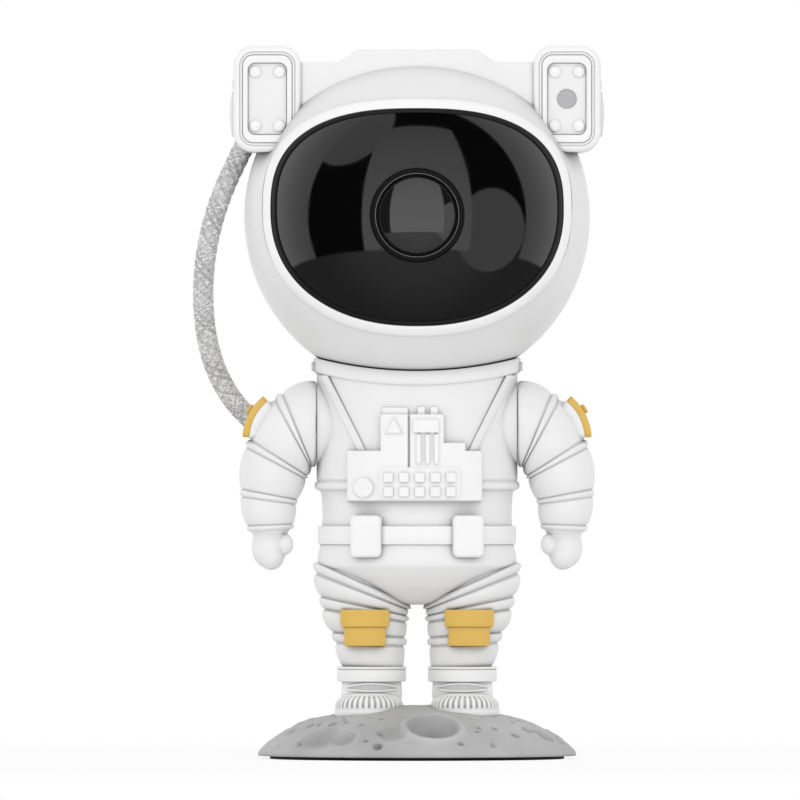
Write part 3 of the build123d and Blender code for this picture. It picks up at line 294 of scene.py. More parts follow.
# Moulded plastic: cloudy tone, roughness that varies, a fine mould grain
def makeMouldedFinish():
    tree, given, out = newGroup("mouldedFinish", {
        "Vector": None, "Color": (0.8, 0.8, 0.8, 1), "Tone Spread": 0.03, "Roughness": 0.4,
        "Roughness Spread": 0.06, "Grain Scale": 2400.0}, ("Color", "Roughness", "Height"))
    cloud = noise(tree, given["Vector"], *mouldedNoise["cloud"])
    tone = spread(tree, cloud, calc(tree, "SUBTRACT", 1.0, given["Tone Spread"]), 1.0)
    patches = noise(tree, given["Vector"], *mouldedNoise["patches"])
    rougher = calc(tree, "ADD", given["Roughness"], given["Roughness Spread"])
    linkAll(tree, out, {
        "Color": tint(tree, given["Color"], tone),
        "Roughness": spread(tree, patches, given["Roughness"], rougher),
        "Height": noise(tree, given["Vector"], given["Grain Scale"], mouldedNoise["grainDetail"])})
    return tree


# Thin line where the front and rear shells meet
def makeSeamLine():
    tree, given, out = newGroup("seamLine", {"Vector": None, "Width": 0.00016}, ("Mask",))
    parts = addNode(tree, "ShaderNodeSeparateXYZ", {"Vector": given["Vector"]})
    share = calc(tree, "DIVIDE", calc(tree, "ABSOLUTE", parts.outputs["Y"]), given["Width"])
    mask = addNode(tree, "ShaderNodeClamp", {"Value": calc(tree, "SUBTRACT", 1.0, share)})
    linkAll(tree, out, {"Mask": mask.outputs["Result"]})
    return tree


# Machined or rolled metal: streaks along one way and small tone changes
def makeMetalFinish():
    tree, given, out = newGroup("metalFinish", {
        "Vector": None, "Color": (0.6, 0.6, 0.6, 1), "Roughness": 0.3, "Streak Scale": 900.0},
        ("Color", "Roughness", "Height"))
    mapping = addNode(tree, "ShaderNodeMapping", {"Vector": given["Vector"], "Scale": streaks["stretch"]})
    streak = noise(tree, mapping.outputs["Vector"], given["Streak Scale"], streaks["detail"])
    rougher = calc(tree, "ADD", given["Roughness"], streaks["roughnessSpread"])
    linkAll(tree, out, {
        "Color": tint(tree, given["Color"], spread(tree, streak, streaks["darkest"], 1.0)),
        "Roughness": spread(tree, streak, given["Roughness"], rougher), "Height": streak})
    return tree


mouldedFinish = makeMouldedFinish()
seamLine = makeSeamLine()
metalFinish = makeMetalFinish()


def placeGroup(tree, group, vector, values):
    return addNode(tree, "ShaderNodeGroup", {"Vector": vector, **values}, node_tree=group).outputs


# Painted shade: the colour is darker where surfaces nearly meet, as far as the distance reaches
def paintedCreaseShade(tree, distance, darkest):
    reach = {"Distance": distance * mm}
    shade = addNode(tree, "ShaderNodeAmbientOcclusion", reach, samples=paintedShadeSettings["samples"])
    return mapRange(tree, shade.outputs["AO"], *paintedShadeSettings["range"], darkest)


def dressShader(tree, shader, color, roughness, height, depth):
    bump = addNode(tree, "ShaderNodeBump", {"Height": height, "Distance": depth})
    linkAll(tree, shader.inputs, {
        "Base Color": color, "Roughness": roughness, "Normal": bump.outputs["Normal"]})


# A colour may be one number for a plain grey
def fullColor(color):
    return (*color, 1) if isinstance(color, tuple) else (color, color, color, 1)


def plastic(name, color, roughness, toneSpread=0.03, grain=0.000012, seam=False, crease=0.0, paintedShadeTone=0.5,
            **shaderValues):
    material, tree, shader, vector = startMaterial(name, shaderValues)
    finish = placeGroup(tree, mouldedFinish, vector, {
        "Color": fullColor(color), "Tone Spread": toneSpread, "Roughness": roughness})
    tone = finish["Color"]
    if seam:
        tone = tint(tree, tone, darken(tree, placeGroup(tree, seamLine, vector, {})["Mask"], seamDepth))
    # Painted shade: the colour is darkened where surfaces nearly meet, over crease millimetres, down to the
    # tone given
    if crease:
        tone = tint(tree, tone, paintedCreaseShade(tree, crease, paintedShadeTone))
    dressShader(tree, shader, tone, finish["Roughness"], finish["Height"], grain)
    return material


def metal(name, color, roughness, streakScale=900.0):
    material, tree, shader, vector = startMaterial(name, {"Metallic": 1.0})
    finish = placeGroup(tree, metalFinish, vector, {
        "Color": fullColor(color), "Roughness": roughness, "Streak Scale": streakScale})
    dressShader(tree, shader, finish["Color"], finish["Roughness"], finish["Height"], streaks["bump"])
    return material


# crease is the reach in millimetres of painted shade where surfaces nearly meet, and its tone is the darkest
# level of that shade
suitWhite = plastic("suitWhite", 0.84, 0.46, seam=True, crease=5.0, paintedShadeTone=0.35)
suitArm = plastic("suitArm", 0.84, 0.46, crease=4.0)
trimWhite = plastic("trimWhite", 0.88, 0.42, toneSpread=0.02, crease=1.6)
# The collar and helmet carry wide, deep painted shade: under the head, and under the crown bar and round the
# visor rim
collarWhite = plastic("collarWhite", 0.86, 0.42, toneSpread=0.02, crease=9.0, paintedShadeTone=0.2)
crownWhite = plastic("crownWhite", 0.83, 0.42, toneSpread=0.02, crease=1.6)
rimWhite = plastic("rimWhite", 0.9, 0.3, toneSpread=0.015, crease=1.2)
helmetWhite = plastic("helmetWhite", 0.785, 0.36, toneSpread=0.02, grain=0.000006, seam=True, crease=9.0,
                      paintedShadeTone=0.0)
patchYellow = plastic("patchYellow", (0.74, 0.475, 0.098), 0.4, toneSpread=0.06, crease=1.2)
panelGrey = plastic("panelGrey", (0.83, 0.83, 0.835), 0.48, crease=1.8)
# Grey that stands for the shade in a recess: painted shade
paintedRecessShade = plastic("paintedRecessShade", (0.55, 0.55, 0.555), 0.5)
windowGrey = plastic("windowGrey", (0.44, 0.44, 0.45), 0.22, toneSpread=0.05)
gasketBlack = plastic("gasketBlack", (0.004, 0.004, 0.0042), 0.5, toneSpread=0.2)
visorBlack = plastic("visorBlack", (0.0022, 0.0022, 0.0024), 0.03, toneSpread=0.2, grain=0.0000006,
                     **{"IOR": 1.75})
bezelBlack = plastic("bezelBlack", (0.004, 0.004, 0.0042), 0.26, toneSpread=0.15, grain=0.000002,
                     **{"IOR": 1.25})
padRubber = plastic("padRubber", 0.016, 0.8, toneSpread=0.25, grain=0.00004)
darkPlastic = plastic("darkPlastic", (0.035, 0.035, 0.037), 0.55, toneSpread=0.15, grain=0.00002)
greyPlastic = plastic("greyPlastic", (0.42, 0.42, 0.43), 0.45, crease=1.6)
boardGreen = plastic("boardGreen", (0.02, 0.16, 0.06), 0.35, toneSpread=0.2)
boardWhite = plastic("boardWhite", (0.78, 0.78, 0.76), 0.4)
clearWheel = plastic("clearWheel", (0.85, 0.88, 0.9), 0.08, **{"Transmission Weight": 0.85, "IOR": 1.49})
lensGlass = plastic("lensGlass", (0.01, 0.01, 0.011), 0.02, toneSpread=0.1, grain=0.0000004,
                    **{"IOR": 1.9, "Coat Weight": 0.4, "Coat Roughness": 0.02})
screwSteel = metal("screwSteel", (0.55, 0.55, 0.56), 0.28)
weightSteel = metal("weightSteel", (0.42, 0.42, 0.43), 0.45)
magnetPlating = metal("magnetPlating", (0.7, 0.69, 0.66), 0.16)
motorSteel = metal("motorSteel", (0.6, 0.6, 0.61), 0.3, streakScale=500.0)
brass = metal("brass", (0.72, 0.5, 0.2), 0.25)
aluminium = metal("aluminium", (0.74, 0.75, 0.76), 0.35)
ringSilver = metal("ringSilver", (0.42, 0.42, 0.43), 0.2)

moonLook = {
    "group": {"Color": (0.5, 0.5, 0.503, 1), "Tone Spread": 0.22, "Roughness": 0.62, "Grain Scale": 1500.0},
    "specks": (700.0, 3, 0.7), "speckRange": (0.62, 0.75), "speckTone": (1.0, 0.8),
    # The depth scales the painted shade in craters and the painted highlight on their rims; crease gives the
    # reach and darkest tone of painted shade where surfaces nearly meet
    "paintedCraterShadingDepth": 0.42, "crease": (2.4, 0.35), "bump": 0.00006,
}
braidLook = {
    "yarn": (2000.0, 2), "sparkle": (0.55, 1.35), "roughness": (0.3, 0.55), "metallic": 0.1, "bump": 0.00004,
}


# Cast moon grey: broad mottling, small specks, gritty bump, painted shade in the craters and where surfaces
# nearly meet, and a painted highlight on the crater rims
def makeMoonGrey():
    material, tree, shader, vector = startMaterial("moonGrey", {})
    finish = placeGroup(tree, mouldedFinish, vector, moonLook["group"])
    specks = noise(tree, vector, *moonLook["specks"])
    level = mapRange(tree, specks, *moonLook["speckRange"], *moonLook["speckTone"])
    # Painted shade in the craters and painted highlight on their rims, read from the mesh
    paintedCraterShading = addNode(tree, "ShaderNodeAttribute", attribute_name="paintedCraterShading").outputs["Fac"]
    level = times(tree, level, darken(tree, paintedCraterShading, moonLook["paintedCraterShadingDepth"]))
    level = times(tree, level, paintedCreaseShade(tree, *moonLook["crease"]))
    color = tint(tree, finish["Color"], level)
    dressShader(tree, shader, color, finish["Roughness"], finish["Height"], moonLook["bump"])
    return material


# Braided yarn: each strand has its own grey, with a silky shine and bright threads
def makeHoseBraid():
    material, tree, shader, vector = startMaterial("hoseBraid", {"Metallic": braidLook["metallic"]})
    strand = addNode(tree, "ShaderNodeAttribute", attribute_name="strandTone").outputs["Fac"]
    fine = noise(tree, vector, *braidLook["yarn"])
    tone = times(tree, strand, spread(tree, fine, *braidLook["sparkle"]))
    inputs = {"Red": tone, "Green": tone, "Blue": tone}
    grey = addNode(tree, "ShaderNodeCombineColor", inputs).outputs["Color"]
    dressShader(tree, shader, grey, spread(tree, fine, *braidLook["roughness"]), fine, braidLook["bump"])
    return material


moonGrey = makeMoonGrey()
hoseBraid = makeHoseBraid()
print("finishes ready")


# Mesh helpers

# Mesh of an object with its modifiers applied
def plainMesh(thing):
    bpy.context.view_layer.update()
    return bpy.data.meshes.new_from_object(thing.evaluated_get(bpy.context.evaluated_depsgraph_get()))


def meshPoints(mesh):
    return np.array([v.co[:] for v in mesh.vertices]) / mm


def finishMesh(mesh, material, sharp):
    shape = bmesh.new()
    shape.from_mesh(mesh)
    bmesh.ops.remove_doubles(shape, verts=shape.verts, dist=1e-7)
    bmesh.ops.recalc_face_normals(shape, faces=shape.faces)
    shape.to_mesh(mesh)
    shape.free()
    mesh.polygons.foreach_set("use_smooth", np.ones(len(mesh.polygons), bool))
    mesh.set_sharp_from_angle(angle=math.radians(sharp))
    mesh.materials.clear()
    mesh.materials.append(material)


# A skin is points and faces; marks are values for each point that a finish reads
def buildPiece(name, skin, material, sharp=40, marks=None):
    points, faces = skin
    mesh = bpy.data.meshes.new(name)
    mesh.from_pydata((np.asarray(points, float) * mm).tolist(), [], faces)
    for mark, values in (marks or {}).items():
        mesh.attributes.new(mark, "FLOAT", "POINT").data.foreach_set("value", values)
    finishMesh(mesh, material, sharp)
    return linkObject(name, mesh)


def place(piece, body, slotName, *nodes):
    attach(piece, body)
    if nodes:
        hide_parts(*nodes)


# Faces over rows of points; each row closes on itself unless it is open
def rowFaces(rows, columns, closed=True):
    i, j = np.meshgrid(np.arange(rows - 1), np.arange(columns if closed else columns - 1), indexing="ij")
    k = (j + 1) % columns
    corners = [i * columns + j, i * columns + k, (i + 1) * columns + k, (i + 1) * columns + j]
    return np.stack(corners, axis=-1).reshape(-1, 4).tolist()


# Skin over rings of points, each end closed by a fan
def loftRings(rings):
    rings = np.asarray(rings, float)
    rows, columns = rings.shape[:2]
    points = np.vstack([rings.reshape(-1, 3), rings[0].mean(0), rings[-1].mean(0)])
    faces = rowFaces(rows, columns)
    last = (rows - 1) * columns
    for j in range(columns):
        k = (j + 1) % columns
        faces.append((rows * columns, k, j))
        faces.append((rows * columns + 1, last + j, last + k))
    return points, faces


# Skin over rings of points, the last joined to the first
def ringSkin(rings):
    rows, columns = np.shape(rings)[:2]
    faces = [tuple(v % (rows * columns) for v in face) for face in rowFaces(rows + 1, columns)]
    return np.reshape(rings, (-1, 3)), faces


# Several skins in one mesh
def joinSkins(skins):
    points, faces, start = [], [], 0
    for skinPoints, skinFaces in skins:
        points.append(skinPoints)
        faces += [tuple(v + start for v in face) for face in skinFaces]
        start += len(skinPoints)
    return np.vstack(points), faces


# Several closed skins of one moulding made into one
def uniteSkins(name, skins, material, sharp=40):
    main = buildPiece(name, skins[0], material, sharp)
    for skin in skins[1:]:
        other = buildPiece(name + "Tool", skin, material)
        joint = main.modifiers.new("unite", "BOOLEAN")
        joint.operation = "UNION"
        joint.solver = "EXACT"
        joint.object = other
        mesh = plainMesh(main)
        main.modifiers.clear()
        main.data = mesh
        bpy.data.objects.remove(other)
    finishMesh(main.data, material, sharp)
    return main


def circle(columns):
    angles = np.linspace(0, 2 * math.pi, columns, endpoint=False)
    return np.cos(angles), np.sin(angles)


# Level oval ring; z is one height, or one for each point
def levelRing(columns, wide, deep, z, x=0.0, y=0.0):
    c, s = circle(columns)
    return np.stack([x + wide * c, y + deep * s, z + np.zeros(columns)], axis=-1)


# Ring about an axis that runs sideways
def sideRing(columns, x, y, z, radius):
    c, s = circle(columns)
    return np.stack([x + np.zeros(columns), y + radius * c, z + radius * s], axis=-1)


# Rings of a profile of radius and y, spun about an axis that runs to the front
def spinProfile(profile, x, z, columns):
    c, s = circle(columns)
    return [np.stack([x + r * c, y + np.zeros(columns), z + r * s], axis=-1) for r, y in profile]


# Ways across a line, side and up, that turn as little as they can
def lineFrames(line):
    ahead = np.gradient(line, axis=0)
    ahead /= np.linalg.norm(ahead, axis=1)[:, None]
    side = np.zeros_like(line)
    side[0] = np.cross(ahead[0], (0, 0, 1.0))
    for i in range(len(line)):
        last = side[max(i - 1, 0)]
        side[i] = last - ahead[i] * last.dot(ahead[i])
        side[i] /= np.linalg.norm(side[i])
    return side, np.cross(ahead, side)


def tubeSkin(line, side, up, radius, columns):
    c, s = (part[None, :, None] for part in circle(columns))
    return loftRings(line[:, None] + radius * (c * side[:, None] + s * up[:, None]))


def splitEdges(points, step):
    out = []
    for a, b in zip(points, points[1:] + points[:1]):
        count = max(1, int(math.dist(a, b) / step))
        out += [(a[0] + (b[0] - a[0]) * t / count, a[1] + (b[1] - a[1]) * t / count) for t in range(count)]
    return np.array(out)


# Corner points of a rectangle with round corners
def cornerPoints(width, height, corner, turn):
    halfW, halfH = width / 2 - corner, height / 2 - corner
    points = []
    quarters = ((halfW, halfH, 0), (-halfW, halfH, 90), (-halfW, -halfH, 180), (halfW, -halfH, 270))
    for cx, cz, start in quarters:
        for a in np.radians(np.linspace(start, start + 90, turn)):
            points.append((cx + corner * math.cos(a), cz + corner * math.sin(a)))
    return points


def roundedOutline(width, height, corner, step=0.8, turn=10):
    return splitEdges(cornerPoints(width, height, corner, turn), step)


def pushOutline(outline, amount):
    way = np.roll(outline, -1, axis=0) - np.roll(outline, 1, axis=0)
    normal = np.stack([way[:, 1], -way[:, 0]], axis=1)
    return outline + normal / np.linalg.norm(normal, axis=1)[:, None] * amount


# Plate with rounded edges laid on a surface: surface(u, v, height) gives its points
def plateSkin(outline, surface, rise, edge, sink=0.6, rings=6, edgeRings=6, lastShare=0.98):
    loops = [(outline, -sink), (outline, rise - edge)]
    for a in np.linspace(0, math.pi / 2, edgeRings)[1:]:
        loops.append((pushOutline(outline, -edge * (1 - math.cos(a))), rise - edge + edge * math.sin(a)))
    top = loops[-1][0]
    centre = top.mean(0)
    for t in [*np.linspace(0, 1, rings + 1)[1:-1], lastShare]:
        loops.append((top + (centre - top) * t, rise))
    return loftRings([surface(loop[:, 0], loop[:, 1], height) for loop, height in loops])


# Front of an upright post: u runs across, v up and h out
def onPost(x, y, radius, leastSquare=0.1):
    def surface(u, v, h):
        return np.stack([x + u, y - np.sqrt(np.maximum((radius + h) ** 2 - u ** 2, leastSquare)), v], axis=-1)
    return surface


# Flat face: u and v run along it from the middle, h out of it
def onFlat(middle, uWay, vWay, hWay):
    ways = np.array([uWay, vWay, hWay], float)
    return lambda u, v, h: np.array(middle) + np.stack([u, v, h + 0 * u], axis=-1) @ ways


# Line through a table of pairs, its corners blurred
def smoothLine(table, at, blur, count=600, passes=3):
    spots = np.linspace(table[0][0], table[-1][0], count)
    values = np.interp(spots, *zip(*table))
    width = max(1, int(blur / (spots[1] - spots[0])))
    for _ in range(passes):
        before = 2 * values[0] - values[width:0:-1]
        after = 2 * values[-1] - values[-2:-width - 2:-1]
        padded = np.concatenate([before, values, after])
        values = np.convolve(padded, np.ones(2 * width + 1) / (2 * width + 1), "valid")
    return np.interp(at, spots, values)


def runLength(line):
    return np.concatenate([[0], np.cumsum(np.linalg.norm(np.diff(line, axis=0), axis=1))])


def ease(t):
    return t * t * (3 - 2 * t)


# Hose

hose = {
    "route": [(-52.9, 2.0, 200.6), (-57.6, 2.9, 191.0), (-62.2, 4.2, 181.2), (-65.8, 6.0, 170.2),
              (-68.0, 8.4, 158.6), (-68.6, 11.0, 146.8), (-67.6, 13.8, 135.2), (-64.6, 16.8, 124.0),
              (-58.6, 20.0, 113.4), (-50.2, 22.8, 105.6), (-40.0, 25.0, 100.6), (-29.2, 26.0, 98.5),
              (-19.2, 26.0, 98.5)],
    "resolution": 32,
    "diameter": 6.5,
    "joinZ": 135.2,         # the two lengths meet here, level with the neck
    "carriers": 20,         # strands each way
    "pitch": 17.0,          # length of one turn
    "strandWidth": 0.98, "strandThick": 0.34, "flatShare": 0.55, "strandSpread": 1.25,
    "wave": 0.2,            # over and under
    "stepsPerMm": 3.2,
    "tones": (0.46, 0.88), "seed": 11,
    "coreSink": 0.28, "coreColumns": 28, "coreSkip": 3, "coreTone": 0.1,
}


def readRoute(points):
    curve = bpy.data.curves.new("hoseRoute", "CURVE")
    curve.dimensions = "3D"
    curve.resolution_u = hose["resolution"]
    spline = curve.splines.new("NURBS")
    spline.points.add(len(points) - 1)
    for point, spot in zip(spline.points, points):
        point.co = (*[c * mm for c in spot], 1)
    spline.order_u = 3
    spline.use_endpoint_u = True
    route = linkObject("hoseRoute", curve)
    mesh = plainMesh(route)
    line = meshPoints(mesh)
    bpy.data.objects.remove(route)
    bpy.data.meshes.remove(mesh)
    return line


def evenLine(line, step):
    along = runLength(line)
    s = np.linspace(0, along[-1], int(along[-1] / step) + 1)
    return np.stack([np.interp(s, along, line[:, c]) for c in range(3)], axis=1), s


# Dark core with flat strands wound both ways over and under each other
def makeHose(name, line, s, side, up):
    radius, skip = hose["diameter"] / 2, hose["coreSkip"]
    core = radius - hose["strandThick"] - hose["coreSink"]
    skins = [tubeSkin(line[::skip], side[::skip], up[::skip], core, hose["coreColumns"])]
    tones = [np.full(len(skins[0][0]), hose["coreTone"])]
    rng = np.random.default_rng(hose["seed"])
    halfW, halfT = hose["strandWidth"] / 2, hose["strandThick"] / 2
    flat = halfW * hose["flatShare"]
    for turn in (-1, 1):
        for k in range(hose["carriers"]):
            angle = 2 * math.pi * (k / hose["carriers"] + turn * s / hose["pitch"])
            crossing = s * 2 * hose["carriers"] / hose["pitch"] + turn * (k + 0.5)
            lift = hose["wave"] * turn * np.sin(math.pi * crossing / 2)
            middle = radius - halfT - hose["wave"] / 2 + lift
            edges = []
            for u, t in ((-halfW, 0), (-flat, halfT), (flat, halfT), (halfW, 0), (0, -halfT)):
                a = (angle + u / radius * hose["strandSpread"])[:, None]
                edges.append(line + (middle + t)[:, None] * (np.cos(a) * side + np.sin(a) * up))
            skins.append(loftRings(np.stack(edges, axis=1)))
            tones.append(np.full(len(skins[-1][0]), rng.uniform(*hose["tones"])))
    return buildPiece(name, joinSkins(skins), hoseBraid, 60, {"strandTone": np.concatenate(tones)})


def addHose():
    line, s = evenLine(readRoute(hose["route"]), 1 / hose["stepsPerMm"])
    side, up = lineFrames(line)
    split = int(np.argmin(np.abs(line[:, 2] - hose["joinZ"])))
    parts = {"hose_upper": slice(0, split + 1), "hose_lower": slice(split, len(line))}
    for name, part in parts.items():
        piece = makeHose(name, line[part], s[part], side[part], up[part])
        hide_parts("hose")
        if name == "hose_upper":
            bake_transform(piece)
        else:
            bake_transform(piece)
    print("hose ready:", round(float(s[-1]), 1), "mm")


addHose()


# Moon base

moonBase = {
    "profile": [(0, 17.2), (8, 17.1), (15, 16.5), (21, 15.5), (26.9, 14.2), (34.2, 12.7), (38.4, 10.9),
                (41.9, 9.0), (45.6, 6.9), (48.3, 4.9), (49.8, 3.4), (50.6, 2.3)],     # radius, z
    "foot": [(50.75, 1.9), (50.8, 1.2), (50.7, 1.0), (48.2, 1.0)],
    "blur": 1.6, "plainFrom": 47,       # the profile is smoothed inside this radius
    "innerRows": 130, "edgeRows": 41, "firstRadius": 0.35, "edgeFrom": 44, "columns": 420,
    "craters": [    # x, y, mouth radius, depth, rim height
        (4.9, -38.6, 8.0, 2.6, 0.95), (-23.4, -38.7, 4.2, 0.7, 0.25), (-31.5, -33.5, 7.6, 0.8, 0.1),
        (-7.6, -41.5, 4.8, 0.5, 0.12), (-12.6, -47.0, 1.6, 0.75, 0.12), (-12.1, -41.5, 0.9, 0.4, 0.1),
        (-34.0, -18.7, 1.5, 0.4, 0.15), (-26.8, -26.9, 1.5, 0.4, 0.18), (-37.8, -30.4, 1.1, 0.4, 0.12),
        (-44.5, -21.5, 1.3, 0.35, 0.1), (-40.5, -13.0, 2.2, 0.5, 0.15), (24.5, -31.7, 1.2, 0.4, 0.12),
        (31.3, -30.9, 1.4, 0.45, 0.15), (35.0, -22.3, 2.0, 0.45, 0.2), (24.2, -42.0, 1.1, 0.4, 0.1),
        (19.6, -34.6, 0.9, 0.3, 0.1), (40.2, -19.5, 3.6, 0.8, 0.25), (45.4, -12.5, 2.0, 0.5, 0.15),
        (-18.0, -33.0, 1.0, 0.3, 0.1), (14.0, -45.5, 1.0, 0.35, 0.1), (33.0, 22.0, 7.5, 1.9, 0.45),
        (-8.0, 38.0, 6.0, 1.6, 0.4), (-36.0, 20.0, 5.0, 1.3, 0.3), (12.0, 43.5, 2.8, 0.8, 0.2),
        (-22.0, 33.5, 2.4, 0.6, 0.2), (21.0, 36.5, 1.8, 0.5, 0.15), (-44.5, 4.5, 3.4, 0.8, 0.2),
        (44.0, 4.0, 2.6, 0.6, 0.2), (0.4, 22.5, 4.2, 0.9, 0.35), (-30.5, 38.5, 1.6, 0.5, 0.1),
        (6.5, 31.0, 1.5, 0.4, 0.1), (27.0, 33.0, 1.2, 0.4, 0.1),
    ],
    "pits": {"seed": 4, "count": 44, "reach": (28.0, 48.0), "mouth": (0.55, 1.0), "clear": 0.8, "depth": 0.35,
             "rim": 0.1},
    "smallMouth": 2.6, "smallDeepen": 2.3, "deepen": 1.15,      # small ones are cut deeper for their size
    "wallPower": 2.6, "floorPower": 1.35, "rimGain": 1.5, "rimAt": (1.12, 0.17), "edgeFade": 3,
    # Painted shade inside the craters, and a painted highlight on their rims
    "shadeFrom": 1.1, "shadePower": 0.5, "fullDepth": 1.2,
    "paintedRimHighlightAt": (1.16, 0.13), "fullRim": 0.4, "paintedRimHighlightTone": 0.3,
    "swell": 0.16, "swellPhase": 1.7, "swellFade": 0.6,
    "swellWaves": ((0.21, 0.13, 0.3), (-0.17, 0.24, 0.11), (0.37, -0.29, 0.5), (0.52, 0.41, -0.3),
                   (0.9, -0.7, 0.4)),
}


# The craters, and small pits scattered clear of them
def craterRows():
    pits = moonBase["pits"]
    rows = list(moonBase["craters"])
    rng = np.random.default_rng(pits["seed"])
    while len(rows) < len(moonBase["craters"]) + pits["count"]:
        far = rng.uniform(*pits["reach"])
        turn = rng.uniform(0, 2 * math.pi)
        mouth = rng.uniform(*pits["mouth"])
        x, y = far * math.cos(turn), far * math.sin(turn)
        if all(math.hypot(x - row[0], y - row[1]) > row[2] + mouth + pits["clear"] for row in rows):
            rows.append((x, y, mouth, pits["depth"], pits["rim"]))
    return rows


# Slow swells, the same on every run
def swellField(x, y, z):
    total = np.zeros_like(x)
    for k, (a, b, c) in enumerate(moonBase["swellWaves"]):
        wave = np.sin(a * x + b * y + c * z + moonBase["swellPhase"] * k)
        total += wave * moonBase["swell"] / (1 + moonBase["swellFade"] * k)
    return total


def bell(value, middle, width):
    return np.exp(-((value - middle) / width) ** 2)


def addMoonBase():
    table, edge, columns = moonBase["profile"], moonBase["edgeFrom"], moonBase["columns"]
    last = table[-1][0]
    radii = np.concatenate([np.linspace(moonBase["firstRadius"], edge, moonBase["innerRows"]),
                            np.linspace(edge, last, moonBase["edgeRows"])[1:]])
    angles = np.linspace(0, 2 * math.pi, columns, endpoint=False)
    radius, angle = np.meshgrid(radii, angles, indexing="ij")
    smooth = smoothLine(table, radii, moonBase["blur"])
    height = np.where(radius > moonBase["plainFrom"], np.interp(radius, *zip(*table)), smooth[:, None])
    slope = np.gradient(smooth, radii)[:, None]
    tilt = np.sqrt(1 + slope ** 2)
    x, y = radius * np.cos(angle), radius * np.sin(angle)
    lift = swellField(x, y, height)
    paintedCraterShading, paintedRimHighlight = np.zeros_like(x), np.zeros_like(x)
    for cx, cy, mouth, depth, rim in craterRows():
        far = math.hypot(cx, cy)
        along = (radius - far) * np.interp(far, radii, tilt[:, 0])    # measured on the slope
        turn = (angle - math.atan2(cy, cx) + math.pi) % (2 * math.pi) - math.pi
        d = np.hypot(along, turn * far) / mouth
        bowl = np.clip(1 - d ** moonBase["wallPower"], 0, 1)
        deepen = moonBase["smallDeepen"] if mouth < moonBase["smallMouth"] else moonBase["deepen"]
        lift -= depth * deepen * (1 - (1 - bowl) ** moonBase["floorPower"])
        lift += moonBase["rimGain"] * rim * bell(d, *moonBase["rimAt"])
        # Painted shade in the crater and painted highlight on its rim, kept as a mark for the finish
        shade = np.clip(moonBase["shadeFrom"] - d, 0, 1) ** moonBase["shadePower"]
        paintedCraterShading = np.maximum(paintedCraterShading, shade * min(1, depth / moonBase["fullDepth"]))
        paintedRimHighlight = np.maximum(paintedRimHighlight, bell(d, *moonBase["paintedRimHighlightAt"]) * min(1, rim / moonBase["fullRim"]))
    fade = np.clip((last - radius) / moonBase["edgeFade"], 0, 1)
    out, up = -lift * fade * slope / tilt, lift * fade / tilt
    top = np.stack([x + out * np.cos(angle), y + out * np.sin(angle), height + up], axis=-1)
    foot = [levelRing(columns, r, r, z) for r, z in moonBase["foot"]]
    skin = loftRings(np.concatenate([top, foot]))
    marks = np.zeros(len(skin[0]))
    marks[:paintedCraterShading.size] = ((paintedCraterShading - moonBase["paintedRimHighlightTone"] * paintedRimHighlight) * fade).ravel()
    shell = buildPiece("moon_shell", skin, moonGrey, 50, {"paintedCraterShading": marks})
    place(shell, "figure", "moon_grey", "moon_base")
    print("moon base ready")


addMoonBase()


# Points with a small rounded block set on each, turned to face outwards

def makeSetOnPoints(level=3):
    tree = bpy.data.node_groups.new("setOnPoints", "GeometryNodeTree")
    sockets = {}
    kinds = {"Geometry": "Geometry", "Size": "Vector", "Crease": "Float", "Material": "Material"}
    for name, kind in kinds.items():
        socket = tree.interface.new_socket(name, in_out="INPUT", socket_type="NodeSocket" + kind)
        sockets[name] = socket.identifier
    tree.interface.new_socket("Geometry", in_out="OUTPUT", socket_type="NodeSocketGeometry")
    given = tree.nodes.new("NodeGroupInput").outputs
    cube = addNode(tree, "GeometryNodeMeshCube", {"Size": given["Size"]})
    smooth = addNode(tree, "GeometryNodeSubdivisionSurface", {
        "Mesh": cube.outputs["Mesh"], "Level": level, "Edge Crease": given["Crease"]})
    facing = addNode(tree, "GeometryNodeInputNamedAttribute", {"Name": "facing"}, data_type="FLOAT_VECTOR")
    way = facing.outputs["Attribute"]
    turn = addNode(tree, "FunctionNodeAlignRotationToVector", {"Vector": way}, axis="Y")
    blocks = addNode(tree, "GeometryNodeInstanceOnPoints", {
        "Points": given["Geometry"], "Instance": smooth.outputs["Mesh"],
        "Rotation": turn.outputs["Rotation"]})
    real = addNode(tree, "GeometryNodeRealizeInstances", {"Geometry": blocks.outputs["Instances"]})
    paint = addNode(tree, "GeometryNodeSetMaterial", {
        "Geometry": real.outputs["Geometry"], "Material": given["Material"]})
    addNode(tree, "NodeGroupOutput", {"Geometry": paint.outputs["Geometry"]})
    return tree, sockets


setOnPoints, setSockets = makeSetOnPoints()


def setBlocks(name, points, facing, size, crease, material):
    mesh = bpy.data.meshes.new(name)
    mesh.from_pydata((np.asarray(points) * mm).tolist(), [], [])
    ways = np.asarray(facing, float).ravel()
    mesh.attributes.new("facing", "FLOAT_VECTOR", "POINT").data.foreach_set("vector", ways)
    piece = linkObject(name, mesh)
    setting = piece.modifiers.new("setOnPoints", "NODES")
    setting.node_group = setOnPoints
    setting[setSockets["Size"]] = [c * mm for c in size]
    setting[setSockets["Crease"]] = crease
    setting[setSockets["Material"]] = material
    plain = plainMesh(piece)
    piece.modifiers.clear()
    piece.data = plain
    finishMesh(plain, material, 60)
    return piece


# Boots

